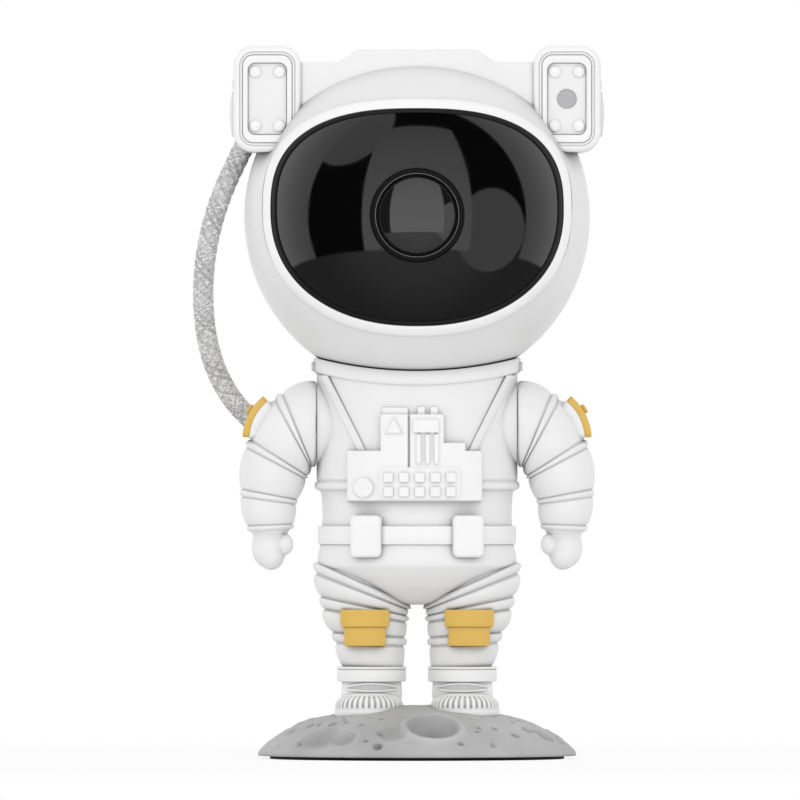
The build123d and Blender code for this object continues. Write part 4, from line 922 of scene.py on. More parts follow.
boot = {
    "x": 14.5, "toeX": 15.25,       # the soles stand a little further apart than the cuffs
    "toe": -19.5, "heel": 14.4, "endRadius": 11.15, "soleColumns": 160,
    "sole": [(12.4, 10.85), (12.65, 11.1), (15.5, 11.15), (15.9, 11.05), (16.05, 10.8)],    # z, half width
    "capTop": 21.05, "capShoulder": 20.2, "capHalf": 10.9, "capPowers": (3.0, 2.6), "capRows": (44, 16),
    "capColumns": 560, "slotCount": 17, "slotSpan": 82.0, "slotHalf": 0.38, "slotDepth": 0.85,
    "slotLow": 16.3, "slotHigh": 20.0, "slotSoft": 0.16,
    "ankleY": 0.5, "ankleColumns": 144, "eyeRadius": 9.7,
    "ankle": [(17.0, 9.3), (20.4, 9.75), (21.6, 9.7), (23.4, 9.6), (24.55, 9.5), (24.6, 10.5), (24.75, 10.9),
              (25.1, 11.05), (28.0, 11.05), (28.35, 11.0), (28.42, 10.75), (28.6, 10.75), (28.68, 11.05),
              (29.2, 11.15), (29.42, 10.95), (29.45, 9.4)],      # z, radius
    "eyeHalf": 7.7, "eyeZ": 22.55, "eyeUp": 1.25, "eyeDown": 0.75, "eyeSteps": 41,
    "eyeRise": 0.12, "eyeEdge": 0.1, "eyeSink": 1.0,
    "lipWidth": 0.75, "lipShift": 0.3, "lipStretch": 1.05, "lipOut": 0.15, "lipColumns": 16,
}


# Flat ring with a round toe and heel
def soleRing(x, half, z, columns):
    s = circle(columns)[1]
    middle = np.where(s < 0, boot["toe"] + boot["endRadius"], boot["heel"] - boot["endRadius"])
    return levelRing(columns, half, half, z, x, middle)


# Domed toe and heel cap with upright slots round the toe
def capSkin(x):
    columns, span, half = boot["capColumns"], boot["slotSpan"], boot["slotHalf"]
    foot, shoulder, top = boot["sole"][-1][0], boot["capShoulder"], boot["capTop"]
    first, second = boot["capPowers"]
    turn = (np.linspace(0, 360, columns, endpoint=False) + 270) % 360 - 180     # 0 at the toe
    pitch = 2 * span / (boot["slotCount"] - 1)
    off = (turn + span) / pitch
    near = np.abs(off - np.round(off)) * math.radians(pitch) * boot["capHalf"]
    inSpan = np.abs(turn) < span + pitch / 2
    rows, topRows = boot["capRows"]
    rings = []
    for z in [*np.linspace(foot, shoulder, rows), *np.linspace(shoulder, top, topRows)[1:-1]]:
        reach = boot["capHalf"] * (1 - ((z - foot) / (top - foot)) ** first) ** (1 / second)
        past = max(boot["slotLow"] + half - z, z - boot["slotHigh"] + half, 0.0)
        slot = np.clip((half - np.hypot(near, past)) / boot["slotSoft"] + 0.5, 0, 1) * inSpan
        cut = (slot * boot["slotDepth"])[:, None] * levelRing(columns, 1.0, 1.0, 0.0)
        rings.append(soleRing(x, reach, z, columns) - cut)
    return loftRings(rings)


def addBoots():
    across = np.linspace(-1, 1, boot["eyeSteps"])
    upper = [(t * boot["eyeHalf"], boot["eyeZ"] + boot["eyeUp"] * (1 - t * t)) for t in across]
    lower = [(t * boot["eyeHalf"], boot["eyeZ"] - boot["eyeDown"] * (1 - t * t)) for t in across]
    outline = np.array(lower + upper[::-1][1:-1])
    for name, side in sides:
        x, toeX = side * boot["x"], side * boot["toeX"]
        sole = loftRings([soleRing(toeX, half, z, boot["soleColumns"]) for z, half in boot["sole"]])
        ankle = loftRings([levelRing(boot["ankleColumns"], r, r, z, x, boot["ankleY"])
                           for z, r in boot["ankle"]])
        shell = buildPiece(name + "_boot_shell", joinSkins([sole, capSkin(toeX), ankle]), trimWhite, 42)
        place(shell, "figure", "white_plastic", name + "_boot")
        surface = onPost(x, boot["ankleY"], boot["eyeRadius"])
        # The boot's eye plate is painted shade: grey for the shadowed recess between the lips
        eye = plateSkin(outline, surface, boot["eyeRise"], boot["eyeEdge"], boot["eyeSink"])
        place(buildPiece(name + "_boot_eye", eye, paintedRecessShade), "figure", "white_plastic")
        lips = []
        for edge, shift in ((upper, boot["lipShift"]), (lower, -boot["lipShift"])):
            u, v = np.transpose(edge)
            line = surface(u * boot["lipStretch"], v + shift, boot["lipOut"])
            lips.append(tubeSkin(line, *lineFrames(line), boot["lipWidth"] / 2, boot["lipColumns"]))
        place(buildPiece(name + "_boot_lips", joinSkins(lips), trimWhite), "figure", "white_plastic")
    print("boots ready")


addBoots()


# Suit: torso and legs in one moulding

head = {"z": 173.1, "radius": 55.2, "gap": 0.35, "collar": 4.0}
suit = {
    "halfWidth": 32.1, "halfDepth": 25.2,
    "insets": [(49.2, 28.5), (49.45, 25.5), (49.9, 22.5), (50.8, 19.2), (52.8, 14.2), (55.5, 8.6),
               (58.5, 3.6), (61.5, 0.4), (64, 0.3), (67, 0.9), (70, 1.5), (74, 1.75), (78, 1.9), (82, 1.75),
               (85.2, 1.45), (85.9, 0.2), (88.4, 0.05), (92, 0), (126, 0)],     # z, inset from the full oval
    "insetBlur": 0.45, "columns": 180,
    "levels": [(49.2, 52, 0.12), (52, 84, 0.6), (84, 90, 0.14), (90, 118, 1.0)],    # from, to, step
    "top": 118.0,
    "depthShare": 0.62, "hipFrom": 54, "hipTall": 12,       # share of the inset below the hips, front to back
    "rollZ": 87.1, "rollHalf": 1.35, "rollProud": 0.75, "rollCrease": 0.25,
    "brimSteps": (0.25, 0.5, 0.75, 1.0), "brimSink": -1.5,  # rises to the saddle edge under the collar
    "lidShares": (0.9, 0.7, 0.4), "lidSink": -0.5, "lidTop": 122.0,
    "shoulderZ": 107.0, "shoulderRadius": 13.3, "shoulderFace": 32.15, "shoulderDeep": 6, "shoulderEdge": 0.5,
    "shoulderColumns": 96,
}
legs = {
    "sections": [(23.4, 29.2, 4.6, 29.2, 9.2), (26.3, 38.7, 4.1, 37.4, 11.0), (30.3, 49.6, 3.4, 44.9, 13.4),
                 (32.6, 61.6, 2.7, 48.4, 16.2), (29.5, 66.5, 4.0, 56.0, 15.5)],
    "rolls": (1, 2, 3), "rollHalf": 1.35, "rollProud": 0.85, "crease": 0.3,
    "puffs": ((1.0, 0.4), (1.6, 0.4), (1.5, 0.2), (0.0, 0.0)),     # outer and inner, between the rolls
}
rollShape = {"dipAt": 1.25, "dipHalf": 0.45, "reach": 2.2, "step": 0.1, "room": 1.15}   # in half widths
limbShape = {"spots": 110, "columns": 120, "puffPower": 0.6}


# Half-round roll with a crease on each side
def rollLift(distance, half, proud, crease):
    share = np.abs(distance) / half
    bead = proud * np.sqrt(np.clip(1 - share ** 2, 0, 1))
    return bead - crease * np.clip(1 - np.abs(share - rollShape["dipAt"]) / rollShape["dipHalf"], 0, 1)


# Height of the collar's foot, or of a shell beside it
def collarFoot(x, y, extra, least=1.0):
    shell = head["radius"] + head["gap"] + head["collar"] + extra
    return head["z"] - np.sqrt(np.maximum(shell ** 2 - x ** 2 - y ** 2, least))


def torsoSkin():
    top = suit["top"]
    levels = np.concatenate([np.arange(*span) for span in suit["levels"]] + [[top]])
    insets = smoothLine(suit["insets"], levels, suit["insetBlur"])
    lifts = rollLift(levels - suit["rollZ"], suit["rollHalf"], suit["rollProud"], suit["rollCrease"])
    rings = []
    for z, inset, lift in zip(levels, insets, lifts):
        hip = ease(min(max((z - suit["hipFrom"]) / suit["hipTall"], 0.0), 1.0))
        share = suit["depthShare"] + (1 - suit["depthShare"]) * hip
        deep = suit["halfDepth"] - inset * share + lift
        rings.append(levelRing(suit["columns"], suit["halfWidth"] - inset + lift, deep, z))
    x, y = rings[-1][:, 0], rings[-1][:, 1]
    brim = collarFoot(x, y, suit["brimSink"])
    rings += [np.stack([x, y, top + (brim - top) * t], axis=-1) for t in suit["brimSteps"]]
    for share in suit["lidShares"]:
        lid = np.minimum(collarFoot(x * share, y * share, suit["lidSink"]), suit["lidTop"])
        rings.append(np.stack([x * share, y * share, lid], axis=-1))
    return loftRings(rings)


# Limb skin through sections: outer x, z, inner x, z, half depth; side is -1 for the viewer's left
def limbSkin(limb, side):
    rolls, half, puffs = limb["rolls"], limb["rollHalf"], limb["puffs"]
    c, s = circle(limbShape["columns"])
    sections = np.array(limb["sections"], float)
    along = runLength((sections[:, :2] + sections[:, 2:4]) / 2)
    spots = set(np.round(np.linspace(0, along[-1], limbShape["spots"]), 3))
    reach, step = rollShape["reach"], rollShape["step"]
    for k in rolls:
        spots |= set(np.round(np.arange(-reach, reach + step / 10, step) * half + along[k], 3))
    rings = []
    for spot in sorted(spot for spot in spots if 0 <= spot <= along[-1]):
        *ends, depth = (np.interp(spot, along, column) for column in sections.T)
        outer, inner = np.array(ends[:2]), np.array(ends[2:])
        k = min(int(np.searchsorted(along, spot, "right")) - 1, len(along) - 2)
        start = along[k] + (half * rollShape["room"] if k in rolls else 0.0)
        end = along[k + 1] - (half * rollShape["room"] if k + 1 in rolls else 0.0)
        share = (spot - start) / (end - start)
        puff = math.sin(math.pi * share) ** limbShape["puffPower"] if 0 < share < 1 else 0.0
        lift = sum(float(rollLift(spot - along[r], half, limb["rollProud"], limb["crease"])) for r in rolls)
        way = (outer - inner) / np.linalg.norm(outer - inner)
        outer = outer + way * (puffs[k][0] * puff + lift)
        inner = inner - way * (puffs[k][1] * puff + lift)
        depth = depth + sum(puffs[k]) / 2 * puff + lift
        flat = (outer + inner) / 2 + c[:, None] * (outer - inner) / 2
        rings.append(np.stack([side * flat[:, 0], depth * s, flat[:, 1]], axis=-1))
    return loftRings(rings)


# Flat round boss that the arm turns against
def shoulderSkin(side):
    face, edge, radius = suit["shoulderFace"], suit["shoulderEdge"], suit["shoulderRadius"]
    profile = ((face - suit["shoulderDeep"], radius), (face - edge, radius), (face, radius - edge))
    columns, z = suit["shoulderColumns"], suit["shoulderZ"]
    return loftRings([sideRing(columns, side * x, 0.0, z, r) for x, r in profile])


def addSuit():
    skins = [torsoSkin()]
    for _, side in sides:
        skins += [limbSkin(legs, side), shoulderSkin(side)]
    body = uniteSkins("suit_body", skins, suitWhite, 48)
    place(body, "figure", "white_plastic", "suit_front", "suit_rear")
    print("suit ready:", len(body.data.polygons), "faces")


addSuit()


# Point on the chest, its height counted out from the torso
def onChest(x, z, h):
    wide, deep = suit["halfWidth"] + h, suit["halfDepth"] + h
    return np.stack([x, -deep * np.sqrt(np.clip(1 - (x / wide) ** 2, 0, 1)), z], axis=-1)


straps = {"top": (29.9, 122.6), "foot": (17.6, 98.2), "width": 2.9, "rise": 0.75, "edge": 0.6, "step": 0.5}


def addStraps():
    (topX, topZ), (footX, footZ), half = straps["top"], straps["foot"], straps["width"] / 2
    for name, side in sides:
        corners = [(side * (topX + half), topZ), (side * (topX - half), topZ),
                   (side * (footX - half), footZ), (side * (footX + half), footZ)]
        outline = splitEdges(corners[::side], straps["step"])
        strap = plateSkin(outline, onChest, straps["rise"], straps["edge"], rings=3)
        place(buildPiece(name + "_strap", strap, suitWhite), "figure", "white_plastic")


addStraps()


# Arms

arm = {
    "sections": [(32.28, 120.3, 32.28, 94.0, 13.4), (44.5, 115.9, 33.7, 93.4, 12.6),
                 (54.2, 100.6, 35.4, 90.1, 10.7), (56.2, 84.8, 38.7, 82.1, 9.0),
                 (53.9, 73.3, 39.8, 74.1, 7.3), (51.0, 69.8, 42.6, 70.4, 4.4)],
    "rolls": (1, 2, 3, 4), "rollHalf": 0.85, "rollProud": 0.55, "crease": 0.2,
    "puffs": ((1.6, 0.6), (1.7, 0.6), (1.5, 0.6), (1.0, 0.5), (0.0, 0.0)),
    "hand": [       # middle and half sizes of the palm, fingers, thumb and heel
        ((47.2, 0.0, 67.4), (5.7, 5.2, 6.6)), ((46.6, -0.6, 64.9), (4.3, 4.6, 4.6)),
        ((42.2, -3.0, 68.5), (2.75, 2.75, 3.4)), ((47.0, 0.0, 71.6), (5.6, 5.4, 4.0))],
    "ballRows": 24, "ballColumns": 36, "poleGap": 0.06,
    "voxel": 0.28, "smooth": 0.5, "smoothings": 4,
}
patch = {
    "centre": (37.5, 101.7), "radius": 18.3, "floor": 16.4, "angle": 27.0,
    "long": 15.2, "wide": 12.0, "corner": 1.8, "rise": 1.9, "edge": 0.4, "sink": 0.9,
    "bar": (2.9, 8.0), "barRise": 1.15, "barShift": 1.7, "barCorner": 0.6, "barStep": 0.4, "barEdge": 0.35,
    "border": 0.55, "padCorner": 2.4, "padRise": -0.3, "padEdge": 0.3, "padSink": 3.0,
}


def ellipsoidSkin(centre, radii, side):
    rings = []
    for a in np.linspace(arm["poleGap"], math.pi - arm["poleGap"], arm["ballRows"]):
        wide, deep = radii[0] * math.sin(a), radii[1] * math.sin(a)
        z = centre[2] + radii[2] * math.cos(a)
        rings.append(levelRing(arm["ballColumns"], wide, deep, z, side * centre[0], centre[1]))
    return loftRings(rings)


# Mitten hand, melted together from ellipsoids
def handSkin(side):
    skins = [ellipsoidSkin(*ball, side) for ball in arm["hand"]]
    hand = buildPiece("handShape", joinSkins(skins), trimWhite)
    melt = hand.modifiers.new("melt", "REMESH")
    melt.mode = "VOXEL"
    melt.voxel_size = arm["voxel"] * mm
    soft = hand.modifiers.new("soft", "SMOOTH")
    soft.factor = arm["smooth"]
    soft.iterations = arm["smoothings"]
    mesh = plainMesh(hand)
    skin = meshPoints(mesh), [tuple(p.vertices) for p in mesh.polygons]
    bpy.data.objects.remove(hand)
    bpy.data.meshes.remove(mesh)
    return skin


# Round of the shoulder: u runs up over it, v to the back and h out
def onShoulder(side):
    def surface(u, v, h):
        angle = math.radians(patch["angle"]) + u / patch["radius"]
        reach = patch["floor"] + h
        x, z = patch["centre"][0] + reach * np.cos(angle), patch["centre"][1] + reach * np.sin(angle)
        return np.stack([side * x, v, z], axis=-1)
    return surface


def addArms():
    long, wide, border = patch["long"], patch["wide"], patch["border"]
    flat = roundedOutline(long, wide, patch["corner"])
    around = roundedOutline(long + 2 * border, wide + 2 * border, patch["padCorner"])
    barLine = roundedOutline(*patch["bar"], patch["barCorner"], patch["barStep"])
    barLine[:, 0] += patch["barShift"]
    for name, side in sides:
        body, surface = name + "_arm", onShoulder(side)
        pad = plateSkin(around, surface, patch["padRise"], patch["padEdge"], patch["padSink"])
        shell = uniteSkins(name + "_arm_shell", [limbSkin(arm, side), handSkin(side), pad], suitArm, 48)
        place(shell, body, "white_plastic", name + "_arm")
        yellow = plateSkin(flat, surface, patch["rise"], patch["edge"], patch["sink"])
        bar = plateSkin(barLine, surface, patch["rise"] + patch["barRise"], patch["barEdge"], 0.0)
        patchPiece = uniteSkins(name + "_patch", [yellow, bar], patchYellow)
        place(patchPiece, body, "yellow_plastic", name + "_shoulder_patch")
    print("arms ready")


addArms()


# Collar

collar = {
    "proud": 1.0, "columns": 240,
    # Inset from the outer face, share of the way from the bore to the foot
    "profile": [(5.5, 0.02), (3.0, 0.0), (0.6, 0.0), (0.18, 0.05), (0.0, 0.16), (0.0, 0.84), (0.15, 0.95),
                (0.55, 1.0), (3.0, 1.0), (5.5, 0.98)],
    "lugWide": 9.0, "lugBelow": (4.6, 1.9), "lugProud": 0.9, "lugIn": 0.25, "lugCorner": 0.5, "lugStep": 0.6,
    "lugEdge": 0.25, "lugSink": 1.5,
}


def addCollar():
    bore = head["radius"] + head["gap"]
    wide, deep = suit["halfWidth"] + collar["proud"], suit["halfDepth"] + collar["proud"]
    rings = []
    for inset, share in collar["profile"]:
        x, y, _ = levelRing(collar["columns"], wide - inset, deep - inset, 0.0).T
        rings.append(np.stack([x, y, collarFoot(x, y, head["collar"] * (share - 1))], axis=-1))
    rim = head["z"] - math.sqrt(bore ** 2 - wide ** 2)
    low, high = (rim - below for below in collar["lugBelow"])
    outline = roundedOutline(collar["lugWide"], high - low, collar["lugCorner"], collar["lugStep"])
    skins = [ringSkin(rings)]
    for _, side in sides:
        middle = (side * (wide - collar["lugIn"]), 0, (low + high) / 2)
        surface = onFlat(middle, (0, 1, 0), (0, 0, 1), (side, 0, 0))
        skins.append(plateSkin(outline, surface, collar["lugProud"], collar["lugEdge"], collar["lugSink"]))
    place(uniteSkins("collar_ring", skins, collarWhite, 45), "figure", "white_plastic", "neck_collar")
    print("collar ready")


addCollar()


# Chest panel: one moulded relief; a box is low x and z, high x and z, corner radius

chest = {
    "area": (-24.2, 80.8, 22.6, 114.4), "step": 0.17, "rise": 1.9, "sunk": -3.2, "edge": 0.42, "backY": -14.0,
    "plate": [(-22.4, 82.4, 20.8, 98.5, 0.35), (-11.7, 97.0, 8.6, 110.1, 0.35),
              (8.0, 97.0, 15.5, 101.0, 0.3)],
    "tabs": [(-11.2, 109.0, -2.7, 112.3, 0.3), (0.0, 109.0, 2.6, 112.5, 0.3), (4.1, 109.0, 6.7, 112.5, 0.3)],
    "tabRise": 0.75, "groove": (-2.85, 93.3, -2.35, 113.0, 0.1), "grooveDepth": 1.0, "grooveEdge": 0.35,
    "sign": [(-9.9, 104.0), (-4.8, 104.0), (-7.4, 108.8)], "signRise": 0.85,
    "signBoxes": [(-1.3, 104.2, 6.9, 108.3, 0.5), (-0.1, 94.2, 1.2, 103.7, 0.6), (2.7, 94.2, 4.0, 103.7, 0.6),
                  (5.5, 94.2, 6.8, 103.7, 0.6)],
    "keyTray": (-12.1, 82.9, 13.8, 92.8, 1.0), "trayRise": 0.55, "keyRise": 0.1, "keyCrease": 0.9,
    "keyFirst": -9.1, "keyPitch": 4.95, "keyColumns": 5, "keyRows": (85.3, 89.9), "keySize": (3.1, 1.1, 3.1),
    "knob": (-17.2, 86.6, 3.1), "knobRise": 1.0,
}


def boxDistance(x, z, box):
    x0, z0, x1, z1, corner = box
    qx = np.abs(x - (x0 + x1) / 2) - (x1 - x0) / 2 + corner
    qz = np.abs(z - (z0 + z1) / 2) - (z1 - z0) / 2 + corner
    return np.hypot(np.maximum(qx, 0), np.maximum(qz, 0)) + np.minimum(np.maximum(qx, qz), 0) - corner


def triangleDistance(x, z, corners):
    far = []
    for (ax, az), (bx, bz) in zip(corners, corners[1:] + corners[:1]):
        far.append(((x - ax) * (bz - az) - (z - az) * (bx - ax)) / math.hypot(bx - ax, bz - az))
    return np.max(far, axis=0)


# 1 inside, 0 outside, rounded at the top of the edge
def edgeRise(distance, width=chest["edge"], power=0.9):
    return np.sin(np.clip(0.5 - distance / width, 0, 1) * math.pi / 2) ** power


def chestHeight(x, z):
    sunk = chest["sunk"]
    plate = np.min([boxDistance(x, z, box) for box in chest["plate"]], axis=0)
    tabs = np.min([boxDistance(x, z, box) for box in chest["tabs"]], axis=0)
    height = np.maximum(sunk + (chest["rise"] - sunk) * edgeRise(plate),
                        sunk + (chest["tabRise"] - sunk) * edgeRise(tabs))
    groove = edgeRise(boxDistance(x, z, chest["groove"]), chest["grooveEdge"])
    height -= chest["grooveDepth"] * groove * (height > 0)
    height += chest["signRise"] * edgeRise(triangleDistance(x, z, chest["sign"]))
    for box in chest["signBoxes"]:
        height += chest["signRise"] * edgeRise(boxDistance(x, z, box))
    height += chest["trayRise"] * edgeRise(boxDistance(x, z, chest["keyTray"]))
    knobX, knobZ, knobRadius = chest["knob"]
    return height + chest["knobRise"] * edgeRise(np.hypot(x - knobX, z - knobZ) - knobRadius)


def addChestPanel():
    x0, z0, x1, z1 = chest["area"]
    columns, rows = int((x1 - x0) / chest["step"]), int((z1 - z0) / chest["step"])
    x, z = np.meshgrid(np.linspace(x0, x1, columns), np.linspace(z0, z1, rows), indexing="xy")
    front = onChest(x, z, chestHeight(x, z)).reshape(-1, 3)
    grid = np.arange(rows * columns).reshape(rows, columns)
    border = np.concatenate([grid[0], grid[1:, -1], grid[-1, -2::-1], grid[-2:0:-1, 0]])
    back = front[border]
    back[:, 1] = chest["backY"]
    behind = len(front) + np.arange(len(border))
    walls = np.stack([border, behind, np.roll(behind, -1), np.roll(border, -1)], axis=1)
    faces = rowFaces(rows, columns, closed=False) + walls.tolist() + [behind[::-1].tolist()]
    panel = buildPiece("chest_relief", (np.vstack([front, back]), faces), trimWhite, 75)
    place(panel, "figure", "white_plastic", "chest_panel")
    places, facing = [], []
    for keyZ in chest["keyRows"]:
        for k in range(chest["keyColumns"]):
            keyX = chest["keyFirst"] + k * chest["keyPitch"]
            point = onChest(keyX, keyZ, chest["rise"] + chest["trayRise"] + chest["keyRise"])
            places.append(point)
            facing.append((point[0] / suit["halfWidth"] ** 2, point[1] / suit["halfDepth"] ** 2, 0))
    keys = setBlocks("chest_keys", places, facing, chest["keySize"], chest["keyCrease"], trimWhite)
    place(keys, "figure", "white_plastic")
    print("chest panel ready")


addChestPanel()


# Belt and pouches

belt = {
    "low": 68.5, "high": 74.4, "columns": 220,
    "profile": [(-3.75, 0.0), (-0.75, 0.0), (-0.55, 0.12), (-0.45, 0.3)],   # outwards, in from an end
    "pouchX": 15.9, "pouchZ": 71.1, "pouchSize": (9.9, 13.4), "pouchCorner": 1.6,
    "pouchRise": 4.2, "pouchEdge": 1.1, "pouchSink": 3.0, "pouchIn": 1.4, "pouchTurn": 0.4, "pouchBow": 0.008,
}


# Face of a pouch, turned part of the way that the belly turns
def onPouch(middle):
    x, y, _ = onChest(middle, 0.0, 0.0)
    turn = math.atan2(x / suit["halfWidth"] ** 2, -y / suit["halfDepth"] ** 2) * belt["pouchTurn"]
    c, s = math.cos(turn), math.sin(turn)
    flat = onFlat((x, y + belt["pouchIn"], belt["pouchZ"]), (c, s, 0), (0, 0, 1), (s, -c, 0))
    return lambda u, v, h: flat(u, v, h - belt["pouchBow"] * u ** 2)


def addBelt():
    profile = [(out, belt["low"] + rise) for out, rise in belt["profile"]]
    profile += [(out, belt["high"] - rise) for out, rise in belt["profile"][::-1]]
    rings = [levelRing(belt["columns"], suit["halfWidth"] + out, suit["halfDepth"] + out, z)
             for out, z in profile]
    band = buildPiece("belt_band", ringSkin(rings), trimWhite, 45)
    place(band, "figure", "white_plastic", "belt")
    outline = roundedOutline(*belt["pouchSize"], belt["pouchCorner"])
    rise, edge, sink = belt["pouchRise"], belt["pouchEdge"], belt["pouchSink"]
    pouches = [plateSkin(outline, onPouch(side * belt["pouchX"]), rise, edge, sink) for _, side in sides]
    place(buildPiece("pouch_pair", joinSkins(pouches), trimWhite), "figure", "white_plastic", "belt_pouches")
    print("belt ready")


addBelt()


# Knee pads

knee = {
    "x": 16.6, "y": 1.0, "radius": 14.0, "jointZ": 42.2, "overlap": 0.3,
    "corner": 0.7, "edge": 0.35, "sink": 2.5, "upper": (15.7, 5.5), "upperRise": 2.6,
    "lower": (13.2, 6.4), "lowerRise": 1.85, "outlineStep": 0.5,
}


def addKneePads():
    shapes = []
    for part, way, shift in (("upper", 1, 0.0), ("lower", -1, knee["overlap"])):
        wide, tall = knee[part]
        middle = np.array([0, knee["jointZ"] + way * tall / 2 + shift])
        outline = roundedOutline(wide, tall, knee["corner"], knee["outlineStep"]) + middle
        shapes.append((outline, knee[part + "Rise"]))
    for name, side in sides:
        surface = onPost(side * knee["x"], knee["y"], knee["radius"])
        skins = [plateSkin(outline, surface, rise, knee["edge"], knee["sink"]) for outline, rise in shapes]
        pad = uniteSkins(name + "_knee_plate", skins, patchYellow)
        place(pad, "figure", "yellow_plastic", name + "_knee_pad")
    print("knee pads ready")


addKneePads()


# Visor with its gasket and rim, and the projection lens: bezel, bright ring, domed glass

visor = {
    "halfWidth": 46.71, "z": 175.0, "up": 32.3, "down": 37.1, "upPower": 2.6, "downPower": 2.2,
    "columns": 220,
    # Sizes sideways and endways; a profile holds a share of its size and a height on the head
    "rimSize": (2.5, 3.0),
    "rim": [(-0.06, -1.6), (-0.06, 0.8), (0.0, 1.1), (0.12, 1.28), (0.35, 1.35), (0.68, 1.28), (0.86, 1.12),
            (0.97, 0.8), (1.01, 0.4), (1.02, -1.6)],
    "gasketSize": (1.95, 1.5),
    "gasket": [(0.02, -1.5), (0.02, 0.55), (-0.06, 0.8), (-0.3, 0.9), (-0.75, 0.82), (-0.94, 0.62),
               (-1.0, 0.35), (-1.0, -1.5)],
    "glassIn": 0.9, "glassRows": 60, "glassOut": 0.45, "glassBack": -1.5,
}
lensSet = {     # profiles hold a radius and y
    "z": 173.15, "hole": 14.9, "columns": 160,
    "bezel": [(15.6, -51.6), (15.1, -52.6), (15.1, -54.35), (14.95, -54.6), (14.65, -54.75), (13.6, -55.0),
              (13.4, -54.95), (13.35, -54.6), (13.05, -54.55), (12.95, -54.7), (12.8, -54.6), (12.5, -54.0),
              (12.35, -53.2), (12.35, -51.6)],
    "ring": [(13.36, -54.6), (13.36, -55.0), (13.31, -55.06), (13.2, -55.06), (13.15, -55.0), (13.15, -54.6)],
    "glassRadius": 12.35, "glassDome": 27.5, "glassApex": -56.6, "glassBack": -51.0, "firstRadius": 0.15,
    "glassRows": 30,
}


# Outline of the visor in the front view, grown sideways and endways
def visorOutline(growX, growZ):
    c, s = circle(visor["columns"])
    power = 2 / np.where(s > 0, visor["upPower"], visor["downPower"])
    tall = np.where(s > 0, visor["up"], visor["down"]) + growZ
    x = np.sign(c) * np.abs(c) ** power * (visor["halfWidth"] + growX)
    return x, visor["z"] + np.sign(s) * np.abs(s) ** power * tall


# Outline laid on a sphere about the head's centre
def onHead(x, z, lift):
    square = (head["radius"] + lift) ** 2 - x ** 2 - (z - head["z"]) ** 2
    return np.stack([x, -np.sqrt(np.maximum(square, 1.0)), z], axis=-1)


def bandSkin(profile, size):
    side, end = size
    return ringSkin([onHead(*visorOutline(share * side, share * end), lift) for share, lift in profile])


def addVisor():
    rim = buildPiece("visor_rim_ring", bandSkin(visor["rim"], visor["rimSize"]), rimWhite, 50)
    place(rim, "head", "white_plastic", "visor_rim")
    gasket = buildPiece("visor_gasket", bandSkin(visor["gasket"], visor["gasketSize"]), gasketBlack, 50)
    place(gasket, "head", "visor_black")
    edge = np.array(visorOutline(*(-visor["glassIn"] * size for size in visor["gasketSize"])))
    middle = np.array([[0.0], [lensSet["z"]]])
    off = edge - middle
    hole = middle + off / np.hypot(*off) * lensSet["hole"]
    shares = np.linspace(0, 1, visor["glassRows"])
    rings = [onHead(*(edge + (hole - edge) * t), visor["glassOut"]) for t in shares]
    rings += [onHead(*(edge + (hole - edge) * t), visor["glassBack"]) for t in shares[::-1]]
    place(buildPiece("visor_glass", ringSkin(rings), visorBlack, 60), "head", "visor_black", "visor")
    print("visor ready")


def addLens():
    z, columns, dome = lensSet["z"], lensSet["columns"], lensSet["glassDome"]
    bezel = ringSkin(spinProfile(lensSet["bezel"], 0.0, z, columns))
    place(buildPiece("lens_bezel_ring", bezel, bezelBlack), "head", "bezel_black", "lens_bezel")
    bright = ringSkin(spinProfile(lensSet["ring"], 0.0, z, columns))
    place(buildPiece("lens_bright_ring", bright, ringSilver, 60), "head", "bezel_black")
    radii = np.linspace(lensSet["firstRadius"], lensSet["glassRadius"], lensSet["glassRows"])
    profile = [(r, lensSet["glassApex"] + dome - math.sqrt(dome ** 2 - r ** 2)) for r in radii]
    profile.append((lensSet["glassRadius"], lensSet["glassBack"]))
    glass = loftRings(spinProfile(profile, 0.0, z, columns))
    place(buildPiece("lens_dome", glass, lensGlass, 50), "head", "lens_glass", "front_lens")
    print("lens ready")


addVisor()
addLens()


# Ear boxes and crown bar

ear = {
    "x": 47.7, "z": 210.5, "width": 21.7, "height": 33.9, "corner": 6.4, "leastCorner": 2.5, "cornerTurn": 20,
    "loops": [  # inset sideways, inset endways, y
        (3.0, 3.0, 16.0), (1.2, 1.2, 15.8), (0.35, 0.35, 15.2), (0, 0, 14.2), (0, 0, -20.2),
        (0.1, 0.1, -21.0), (0.4, 0.4, -21.7), (0.9, 0.9, -22.15), (1.4, 1.4, -22.35), (1.85, 1.85, -22.4),
        (1.93, 1.93, -22.1), (2.2, 2.2, -22.1), (2.28, 2.28, -22.3), (2.72, 2.72, -22.3), (2.8, 2.8, -21.95),
        (3.07, 3.07, -21.95), (3.14, 3.14, -22.4), (4.3, 5.15, -22.4), (4.5, 5.35, -22.32),
        (4.62, 5.47, -22.1), (4.65, 5.5, -21.5), (4.65, 5.5, -20.4)],
    "panelSize": (12.2, 22.7), "panelCorner": 2.4, "panelY": -21.55, "panelBack": -20.3, "panelEdge": 0.15,
    "panelSink": 0.3, "rivetX": 3.8, "rivetZ": 8.6, "rivetSize": (4.6, 2.2, 4.6),
    "discs": [(-4.0, 205.8, 7.2, 1.3), (-4.0, 215.2, 1.5, 0.6)],    # y, z, radius, height
    # Share of the radius, and height on a disc as high as the last row
    "disc": [(1.0, 0.25), (0.985, 0.45), (0.95, 0.55), (0.8, 0.8), (0.6, 1.03), (0.35, 1.2), (0.1, 1.3)],
    "discSink": 1.5, "discColumns": 72,
    "window": [(3.1, -21.2), (3.1, -21.72), (3.0, -21.8), (2.9, -21.72), (2.85, -21.62),
               (1.5, -21.62), (0.1, -21.62)],
    "windowColumns": 96,
}


